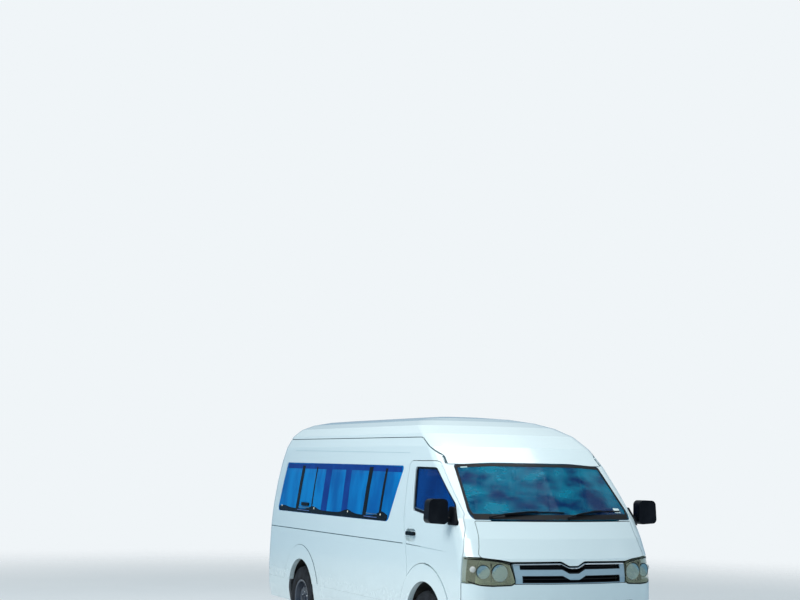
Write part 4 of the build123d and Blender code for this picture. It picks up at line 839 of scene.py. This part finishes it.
wiper("wiper_driver", (-0.63, 1.352), (-0.5, 1.372), (0.06, 1.392))
wiper("wiper_passenger", (0.09, 1.352), (0.18, 1.374), (0.7, 1.404))
top_spot, top_way = touch(screen_skin, "front", 0.0, 1.735)
inner = top_spot - top_way * 0.012
rod("room_mirror_stem", [inner, inner + Vector((-0.045, 0, -0.03))], 0.007, black_plastic)
mirror_place = frame_at(inner + Vector((-0.052, 0, -0.05)), (-1, 0.05, -0.12))
slab("room_mirror", oblong(0.115, 0.032, 0.03), mirror_place, 0.016, black_plastic, 0.004)
print("screen trim laid")

# %% [markdown]
# ## Nose
# The bonnet's lower edge is picked out by a thin bright strip that dips in the middle. Each lamp has a
# deep round bowl for the main beam, a smaller one beside it, a rim round each and a bulb in it. They
# all stand behind the clear lens, in the lamp's own case.

# %% Bright strip and lamp bowls
STRIP = [(-0.54, 0.9725), (-0.15, 0.9765), (-0.098, 0.97), (-0.052, 0.947), (0.0, 0.9375),
         (0.052, 0.947), (0.098, 0.97), (0.15, 0.9765), (0.54, 0.9725)]
LENS_EDGE = ((0.9, 1.016), (0.764, 1.0105), (0.64, 0.9945), (0.568, 0.975), (0.5475, 0.887), (0.539, 0.828),
             (0.568, 0.807), (0.722, 0.799), (0.819, 0.804), (0.89, 0.828))
BULB = [(AXIS, 0.04), (0.006, 0.038), (0.0085, 0.03), (0.0085, 0.01), (0.012, 0.008), (0.012, 0.0)]
TURN_LAMP = [(AXIS, 0.012), (0.016, 0.011), (0.024, 0.004), (0.026, 0.0)]
ribbon("hood_strip", tree_of("grille"), "front", STRIP, 0.008, bright_ring, 120, 0.0005, 0.004,
       slot="lamp_bowl")


def lamp_bowl(name, centre, radius, depth, way):
    """A polished bowl with a rim and a bulb."""
    profile = [(radius * 1.06, 0.004), (radius * 1.06, -0.003), (radius, 0.002)]
    for k in range(1, 11):
        t = k / 10
        profile.append((radius * (1 - t) + 0.012 * t, -depth * (1 - (1 - t) ** 2)))
    profile.append((AXIS, -depth))
    turned(name, profile, centre, way, bowl_metal, 48, "body", "lamp_bowl")
    ring = [(radius * 1.07, 0.001), (radius * 1.075, 0.005), (radius * 1.16, 0.005), (radius * 1.17, -0.004)]
    turned(f"{name}_ring", ring, centre, way, door_black, 48)
    foot = Vector(centre) - Vector(way).normalized() * depth
    turned(f"{name}_bulb", BULB, foot, way, bulb_glass, 20)


for way, hand in SIDES:
    lamp_bowl(f"lamp_main_{way}", (2.548, hand * 0.652, 0.902), 0.066, 0.05, (1, hand * 0.1, 0))
    lamp_bowl(f"lamp_far_{way}", (2.51, hand * 0.788, 0.91), 0.052, 0.04, (1, hand * 0.3, 0))
    turned(f"lamp_turn_{way}", TURN_LAMP, (2.462, hand * 0.862, 0.93), (0.8, hand * 0.6, 0), clear_field, 32)
    foot, head = (2.532, hand * 0.724, 0.826), (2.528, hand * 0.724, 0.982)
    rod(f"lamp_divider_{way}", [foot, head], 0.004, door_black)

lens_tree = tree_of("headlamp_lenses")
for way, hand in SIDES:
    edge = [(hand * y, z) for y, z in LENS_EDGE]
    ribbon(f"lamp_outline_{way}", lens_tree, "front", edge, 0.009, door_black, 150, 0.0003, 0.0006,
           slot="black_plastic")
print("strip and lamps set")

# %% [markdown]
# ## Mirrors
# The glass of a door mirror looks back along the van, a few millimetres inside the rim of its
# black shell.

# %% Mirror glass
CORNERS = [(-0.08, -0.092, 0.032), (0.08, -0.086, 0.032), (0.08, 0.09, 0.036), (-0.074, 0.09, 0.036)]
for way, hand in SIDES:
    spot, _ = touch(tree_of(f"mirror_{way}"), "rear", hand * 1.056, 1.398)
    place = frame_at(spot + Vector((0.0002, 0, 0)), (-1, 0, 0))
    slab(f"mirror_glass_{way}", rounded(CORNERS, 8), place, 0.0022, mirror_face, 0.0008, f"front_door_{way}")
print("mirror glass set")

# %% [markdown]
# ## Wheels
# A road tyre is a round carcass with a tread of blocks cut by grooves. The blocks are what catches the
# light, so they are real: each rib is a ring of small slabs whose ends are slightly turned. The
# sidewall has a raised ring near the rim and another near the shoulder, and no lettering.

# %% Tyres with tread, nuts and caps
HUBS, HUB_Y, HUB_Z = (("front", 1.65), ("rear", -1.46)), 0.822, 0.347
# (radius, height) from the rim outwards to the middle of the tread
SIDEWALL = [
    (0.1915, -0.073), (0.199, -0.085), (0.215, -0.09), (0.217, -0.0925), (0.223, -0.0925), (0.225, -0.091),
    (0.26, -0.0968), (0.29, -0.095), (0.31, -0.09), (0.312, -0.0915), (0.318, -0.089), (0.329, -0.081),
    (0.337, -0.07), (0.3395, -0.04), (0.34, 0.0),
]
# each rib of the tread: middle, width, radius of its top and slant of its blocks
RIBS = ((-0.064, 0.026, 0.3385, 0.0), (-0.0335, 0.025, 0.3462, 0.3), (0.0, 0.026, 0.3468, 0.0),
        (0.0335, 0.025, 0.3462, -0.3), (0.064, 0.026, 0.3385, 0.0))
BLOCK_FOOT, PITCHES, BLOCK_SHARE, SHOULDER = 0.334, 66, 0.42, 0.058
NUT = [(AXIS, 0.017), (0.007, 0.0165), (0.0095, 0.012), (0.01, 0.0)]
CAP = [(AXIS, 0.0062), (0.02, 0.0056), (0.032, 0.0034), (0.037, 0.0006), (0.038, 0.0)]


def tyre(name, centre, hand, body, replaced):
    """A tyre round its hub, with blocks standing on its tread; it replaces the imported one."""
    profile = SIDEWALL + [(r, -h) for r, h in reversed(SIDEWALL[:-1])]
    profile += [(0.185, 0.06), (0.183, 0.0), (0.185, -0.06)]
    place = frame_at(centre, (0, hand, 0))
    vertices, faces = spun(place, profile, 120), skin_of(len(profile), 120, closed=True)
    for index, (middle, wide, top, slant) in enumerate(RIBS):
        for k in range(PITCHES):
            turn = 2 * math.pi * (k + 0.5 * (index % 2)) / PITCHES
            half = 2 * math.pi / PITCHES * BLOCK_SHARE
            first = len(vertices)
            for level, shrink in ((BLOCK_FOOT, 1.0), (top, 0.94)):
                for da, dh in ((-half, -wide / 2), (half, -wide / 2), (half, wide / 2), (-half, wide / 2)):
                    height = middle + dh * shrink
                    edge = abs(height) - SHOULDER
                    radius = level - (max(0.0, edge) * 0.4 if level == top else 0.012 * (edge > 0.0))
                    angle = turn + da * shrink + slant * dh / 0.33
                    vertices.append(round_z(place, radius, angle, height))
            for quad in ((4, 5, 6, 7), (0, 1, 5, 4), (1, 2, 6, 5), (2, 3, 7, 6), (3, 0, 4, 7)):
                faces.append(tuple(first + q for q in quad))
    made = piece(name, vertices, faces, tyre_black, body, "tyre_rubber", 30.0)
    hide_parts(replaced)


for end, x in HUBS:
    for way, hand in SIDES:
        mark = f"{end}_{way}"
        body = f"wheel_{mark}"
        centre, outwards = Vector((x, hand * HUB_Y, HUB_Z)), Vector((0, hand, 0))
        tyre(f"road_tyre_{mark}", centre, hand, body, f"tyre_{mark}")
        for k in range(6):
            angle = 2 * math.pi * (k + 0.5) / 6
            spot = centre + Vector((0.07 * math.cos(angle), 0, 0.07 * math.sin(angle))) + outwards * 0.0405
            turned(f"wheel_nut_{mark}_{k}", NUT, spot, outwards, bright_ring, 6, body, "wheel_steel", 30.0)
        hub = centre + outwards * 0.0782
        turned(f"wheel_cap_{mark}", CAP, hub, outwards, dark_metal, 40, body, "wheel_steel")
        valve = centre + Vector((0.0, 0, -0.163)) + outwards * 0.036
        tip = valve + Vector((0, hand * 0.026, 0.01))
        rod(f"wheel_valve_{mark}", [valve, tip], 0.0032, rubber_seal, 10, body)
print("wheels dressed")

# %% [markdown]
# ## Rear end and plates
# The tail lamps are tall red lenses with an amber and a clear field. The number plates are blank. A wiper
# and a grip finish the tailgate.

# %% Lamp fields, plates and handle
FIELDS = (("amber", 0.985, 1.075, amber_lens), ("clear", 0.87, 0.965, clear_field))
tail_tree = tree_of("tail_lamps")
for way, hand in SIDES:
    for field, low, high, look in FIELDS:
        lines = [[(hand * 0.812, z), (hand * 0.872, z)] for z in (low, high)]
        patch(f"tail_{field}_{way}", tail_tree, "rear", *lines, look, (10, 8), 0.0003, 0.0016)
front_spot, _ = touch(nose_skin, "front", 0.0, 0.69)
front_spot.z = 0.59
plates = (("front", frame_at(front_spot, (1, 0, 0)), 0.004, "body"),
          ("rear", frame_at(*touch(tail_skin, "rear", 0.0, 0.7)), 0.003, "tailgate"))
for where, place, thick, body in plates:
    slab(f"number_plate_{where}", oblong(0.23, 0.055, 0.012), place, thick, plate_blank, 0.0012, body)
for a, b in ((-0.2, -0.04), (-0.2, 0.04), (0.2, -0.04), (0.2, 0.04)):
    for where, place, thick, body in plates:
        spot, way = place @ Vector((a, b, thick + 0.0002)), place.to_3x3() @ Vector((0, 0, 1))
        turned(f"plate_screw_{where}_{int(a * 100) + 30}_{int(b * 1000) + 100}",
               [(AXIS, 0.0022), (0.004, 0.002), (0.0055, 0.0)], spot, way, bright_ring, 14, body)
grip_place = frame_at(*touch(tail_skin, "rear", 0.0, 0.905))
slab("tailgate_grip", oblong(0.19, 0.026, 0.016), grip_place, 0.014, black_plastic, 0.005, "tailgate")
low_glass, low_way = touch(tail_skin, "rear", 0.0, 1.335)
turned("rear_wiper_cap", [(AXIS, 0.026), (0.013, 0.024), (0.018, 0.014), (0.02, 0.0)], low_glass, low_way,
       black_plastic, 24, "tailgate")
blade = [touch(tail_skin, "rear", 0.03 + 0.44 * k / 12, 1.375 + 0.05 * k / 12) for k in range(13)]
arm = [low_glass + low_way * 0.018, blade[4][0] + blade[4][1] * 0.026, blade[6][0] + blade[6][1] * 0.014]
rod("rear_wiper_rubber", [p + n * 0.005 for p, n in blade], 0.0038, rubber_seal, 6, "tailgate")
rod("rear_wiper_spring", [p + n * 0.0115 for p, n in blade], 0.0044, black_plastic, 8, "tailgate")
rod("rear_wiper_arm", arm, 0.0062, black_plastic, 10, "tailgate")
print("rear end dressed")

# %% [markdown]
# ## Seats
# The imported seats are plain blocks. Each becomes a padded form: a copy of the block gets an even skin of
# small faces, and cloth pressed from inside swells it between the seams. Vertices along the seams
# are pinned, so the padding rises between them as it does on a stuffed cushion. Seats of one size are one
# shape.

# %% Padded cushions, backs and headrests
def blocks_of(name):
    """The separate solids of a piece, as (lowest corner, highest corner, mesh)."""
    whole = bmesh.new()
    whole.from_mesh(nodes[name].data)
    bmesh.ops.remove_doubles(whole, verts=whole.verts, dist=0.00005)
    # dictionaries keep the order of their keys, so the blocks come out in the same order each run
    left, found = dict.fromkeys(whole.verts), []
    while left:
        group, edge = {}, [next(iter(left))]
        while edge:
            vertex = edge.pop()
            if vertex in group:
                continue
            group[vertex] = None
            edge.extend(e.other_vert(vertex) for e in vertex.link_edges if e.other_vert(vertex) not in group)
        for vertex in group:
            del left[vertex]
        order = {v: i for i, v in enumerate(group)}
        faces = dict.fromkeys(f for v in group for f in v.link_faces)
        low = Vector([min(v.co[i] for v in group) for i in range(3)])
        high = Vector([max(v.co[i] for v in group) for i in range(3)])
        middle = (low + high) / 2
        corners = [[order[v] for v in f.verts] for f in faces]
        found.append((low, high, [v.co - middle for v in order], corners))
    whole.free()
    return found


VOXEL, REACH = 0.019, 0.011  # size of the even skin's faces, and the furthest that padding may rise
CLOTH = {"quality": 6, "mass": 0.3, "tension_stiffness": 28, "compression_stiffness": 18,
         "bending_stiffness": 1.2, "use_pressure": True, "uniform_pressure_force": 4.0,
         "vertex_group_mass": "held"}
FRAMES = 20


def seams_of(size):
    """The places across a block where its cover is sewn down: two a seat and one between seats."""
    if size.y < 0.3:
        return []
    count = max(1, round(size.y / 0.45))
    wide = size.y / count
    seams = []
    for k in range(count):
        middle = -size.y / 2 + wide * (k + 0.5)
        seams += [middle - wide * 0.26, middle + wide * 0.26]
        if k:
            seams.append(-size.y / 2 + wide * k)
    return seams


def swell(name, vertices, faces, size):
    """The padded form of one block, round its middle."""
    mesh = bpy.data.meshes.new(name)
    mesh.from_pydata([tuple(v) for v in vertices], [], faces)
    pad = put(name, mesh)
    bpy.context.view_layer.objects.active = pad
    remesh = pad.modifiers.new("skin", "REMESH")
    remesh.mode = "VOXEL"
    remesh.voxel_size = VOXEL
    bpy.ops.object.modifier_apply(modifier=remesh.name)
    before = [v.co.copy() for v in pad.data.vertices]
    seams = seams_of(size)
    held = pad.vertex_groups.new(name="held")
    for vertex in pad.data.vertices:
        near = min([abs(vertex.co.y - seam) for seam in seams] or [1.0])
        under = vertex.co.z < -size.z / 2 + 0.03
        # a back has its cross seam above its middle and a cushion ahead of it
        off = vertex.co.z - size.z * 0.22 if size.z > 0.4 else vertex.co.x - size.x * 0.3
        weight = 1.0 if near < 0.0105 or under else (0.75 if abs(off) < 0.011 and seams else 0.0)
        if weight:
            held.add([vertex.index], weight, "REPLACE")
    cloth = pad.modifiers.new("cloth", "CLOTH")
    for key, value in CLOTH.items():
        setattr(cloth.settings, key, value)
    cloth.settings.effector_weights.gravity = 0.0
    cloth.point_cache.frame_start = 1
    cloth.point_cache.frame_end = FRAMES
    for frame_number in range(1, FRAMES + 1):
        bpy.context.scene.frame_set(frame_number)
    shaped = pad.evaluated_get(bpy.context.evaluated_depsgraph_get()).data
    after = [v.co.copy() for v in shaped.vertices]
    pad.modifiers.clear()
    furthest = 0.0
    for vertex, start, end in zip(pad.data.vertices, before, after):
        step = end - start
        furthest = max(furthest, step.length)
        if step.length > REACH:
            step = step.normalized() * REACH
        vertex.co = start + step
    smooth = pad.modifiers.new("round", "SUBSURF")
    smooth.levels = smooth.render_levels = 1
    bpy.ops.object.modifier_apply(modifier=smooth.name)
    pad.data.shade_smooth()
    print(f"{name}: {len(pad.data.polygons)} faces, swelled by up to {furthest * 1000:.1f} mm")
    shape = pad.data
    bpy.data.objects.remove(pad)
    return shape


def cushion_edge(pad, size):
    """Points on a pad along the top edge of its cushion, where the piping runs."""
    a, b = size.x / 2 - 0.014, size.y / 2 - 0.012
    path = rounded([(-a, -b, 0.05), (a, -b, 0.06), (a, b, 0.06), (-a, b, 0.05)], 4)
    surface = BVHTree.FromPolygons([v.co for v in pad.vertices], [p.vertices[:] for p in pad.polygons])
    return [surface.find_nearest(Vector((x, y, size.z / 2 - 0.012)))[0] for x, y in path + path[:1]]


shapes, counts = {}, {}
for row in ("front_seats", "rear_seats"):
    for number, (low, high, vertices, faces) in enumerate(blocks_of(row)):
        size = high - low
        key = tuple(round(c, 2) for c in size)
        if key not in shapes:
            shapes[key] = swell(f"pad_{len(shapes)}", vertices, faces, size)
            shapes[key].materials.append(seat_cloth)
        made = put(f"{row}_pad_{number}", shapes[key].copy())
        made.location = (low + high) / 2
        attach(made, "body")
        if number == 0:
            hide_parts(row)
        if size.z < 0.2:
            path = [spot + made.location for spot in cushion_edge(made.data, size)]
            rod(f"{row}_piping_{number}", path, 0.0042, piping, 6, "body", "seat_cloth")
    counts[row] = number + 1
print("pads:", counts, "shapes:", len(shapes))

# %% [markdown]
# ## Cabin
# Through the screen one sees the wheel, a hooded instrument panel and a shelf. Dials stay blank.

# %% Instrument panel
spot, _ = touch(tree_of("dashboard"), "top", 2.15, -0.395)
hood_shape = rounded([(-0.165, 0.0, 0.0), (0.165, 0.0, 0.0), (0.15, 0.078, 0.05), (-0.15, 0.078, 0.05)], 8)
panel = frame_at(spot + Vector((0.02, 0, -0.004)), (-1, 0, 0))
slab("instrument_hood", hood_shape, panel, 0.085, dash_plastic, 0.01)
for y, radius in ((-0.07, 0.036), (0.022, 0.036), (0.092, 0.022)):
    dial = [(AXIS, 0.0018), (radius * 0.9, 0.0018), (radius, 0.003), (radius * 1.06, 0.0)]
    centre = panel @ Vector((y, 0.04, 0.0855))
    turned(f"dial_{int((y + 0.1) * 1000)}", dial, centre, (-1, 0, 0), gloss_black, 40)
print("instrument panel set")

# %% [markdown]
# ## Floor, light and camera
# The van stands on a plain pale floor, which fades out far away so that no horizon shows. One very large
# soft lamp stands high on the camera's side, a second fills the shade, and a wide one overhead draws the
# bright roof. The backdrop is white to the camera only, so that it doesn't wash the paint with light.

# %% Studio
FADE_AT, FADE_SOFT = 11.5, 5.5
floor_mesh = bpy.data.meshes.new("floor")
floor_mesh.from_pydata([(-60, -60, 0), (60, -60, 0), (60, 60, 0), (-60, 60, 0)], [], [(0, 1, 2, 3)])
floor = put("floor", floor_mesh)
ground = Recipe("floor_finish")
speck = ground.noise(0.6, 4.0)
across_x, across_y, _ = ground.place()
far = (across_x * across_x + across_y * across_y) ** 0.5
floor_mesh.materials.append(ground.finish(ground.shade(
    Base_Color=ground.mix(speck, colour(222, 227, 230), colour(229, 233, 235)), Roughness=speck * 0.1 + 0.7,
    Alpha=1 - far.above(FADE_AT, FADE_SOFT), Specular_IOR_Level=0.1)))
floor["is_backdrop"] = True


def lamp(name, spot, target, size, power, tint=(1.0, 1.0, 1.0)):
    light = bpy.data.lights.new(name, "AREA")
    light.shape = "RECTANGLE"
    light.size, light.size_y = size
    light.energy = power
    light.color = tint
    made = put(name, light)
    made.matrix_world = frame_at(spot, Vector(spot) - Vector(target))
    made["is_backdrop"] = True


lamp("key", (4.0, -12.0, 8.0), (0, 0, 1.2), (7.0, 5.0), 860, (1.0, 0.99, 0.97))
lamp("fill", (9.0, 9.0, 6.0), (0, 0, 1.0), (8.0, 5.0), 50, (0.94, 0.98, 1.0))
lamp("top", (1.0, 0.0, 9.0), (0, 0, 0), (9.0, 7.0), 460)

world = bpy.data.worlds.new("studio")
bpy.context.scene.world = world
sky = Recipe("studio_sky", world)
ray = sky.tree.nodes.new("ShaderNodeLightPath")
seen = Wire(sky, ray.outputs["Is Camera Ray"])
behind = sky.node("ShaderNodeBackground", None, colour(240, 245, 248), 1.0)
where = sky.node("ShaderNodeTexCoord", out="Generated")
height = sky.node("ShaderNodeSeparateXYZ", None, where, out=2)
arch = sky.mix(height.above(0.28, 0.38), colour(104, 160, 200), colour(236, 246, 250))
around = sky.node("ShaderNodeBackground", None, arch, 0.62)
sky.finish(sky.node("ShaderNodeMixShader", None, seen, around, behind))

# the camera's turn, its place in metres and its lens
YAW, PITCH, ROLL = math.radians(155.9628), math.radians(6.4236), math.radians(1.02286)
CAMERA_AT = (13.54285, -6.51143, 1.78209)
FOCAL_PIXELS, WIDE_PIXELS, SENSOR = 1468.9, 800, 36
ahead = Vector((math.cos(YAW) * math.cos(PITCH), math.sin(YAW) * math.cos(PITCH), math.sin(PITCH)))
right = Vector((math.sin(YAW), -math.cos(YAW), 0))
up = right.cross(ahead)
level_right = right * math.cos(ROLL) + up * math.sin(ROLL)
level_up = up * math.cos(ROLL) - right * math.sin(ROLL)
camera_data = bpy.data.cameras.new("camera")
camera_data.lens = SENSOR * FOCAL_PIXELS / WIDE_PIXELS
camera_data.clip_end = 400
camera = put("camera", camera_data)
turn = Matrix((level_right, level_up, -ahead)).transposed().to_4x4()
camera.matrix_world = Matrix.Translation(CAMERA_AT) @ turn
bpy.context.scene.camera = camera
bpy.context.scene.view_settings.view_transform = "Standard"
bpy.context.scene.frame_set(1)
print("studio ready")

# %% Sizes and finish
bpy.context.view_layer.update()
added = {shown.name: sum(len(face.vertices) - 2 for face in shown.data.polygons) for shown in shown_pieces()
         if shown.type == "MESH" and shown.name not in nodes}
print("added pieces:", len(added), "triangles:", sum(added.values()), "largest:", max(added.values()))
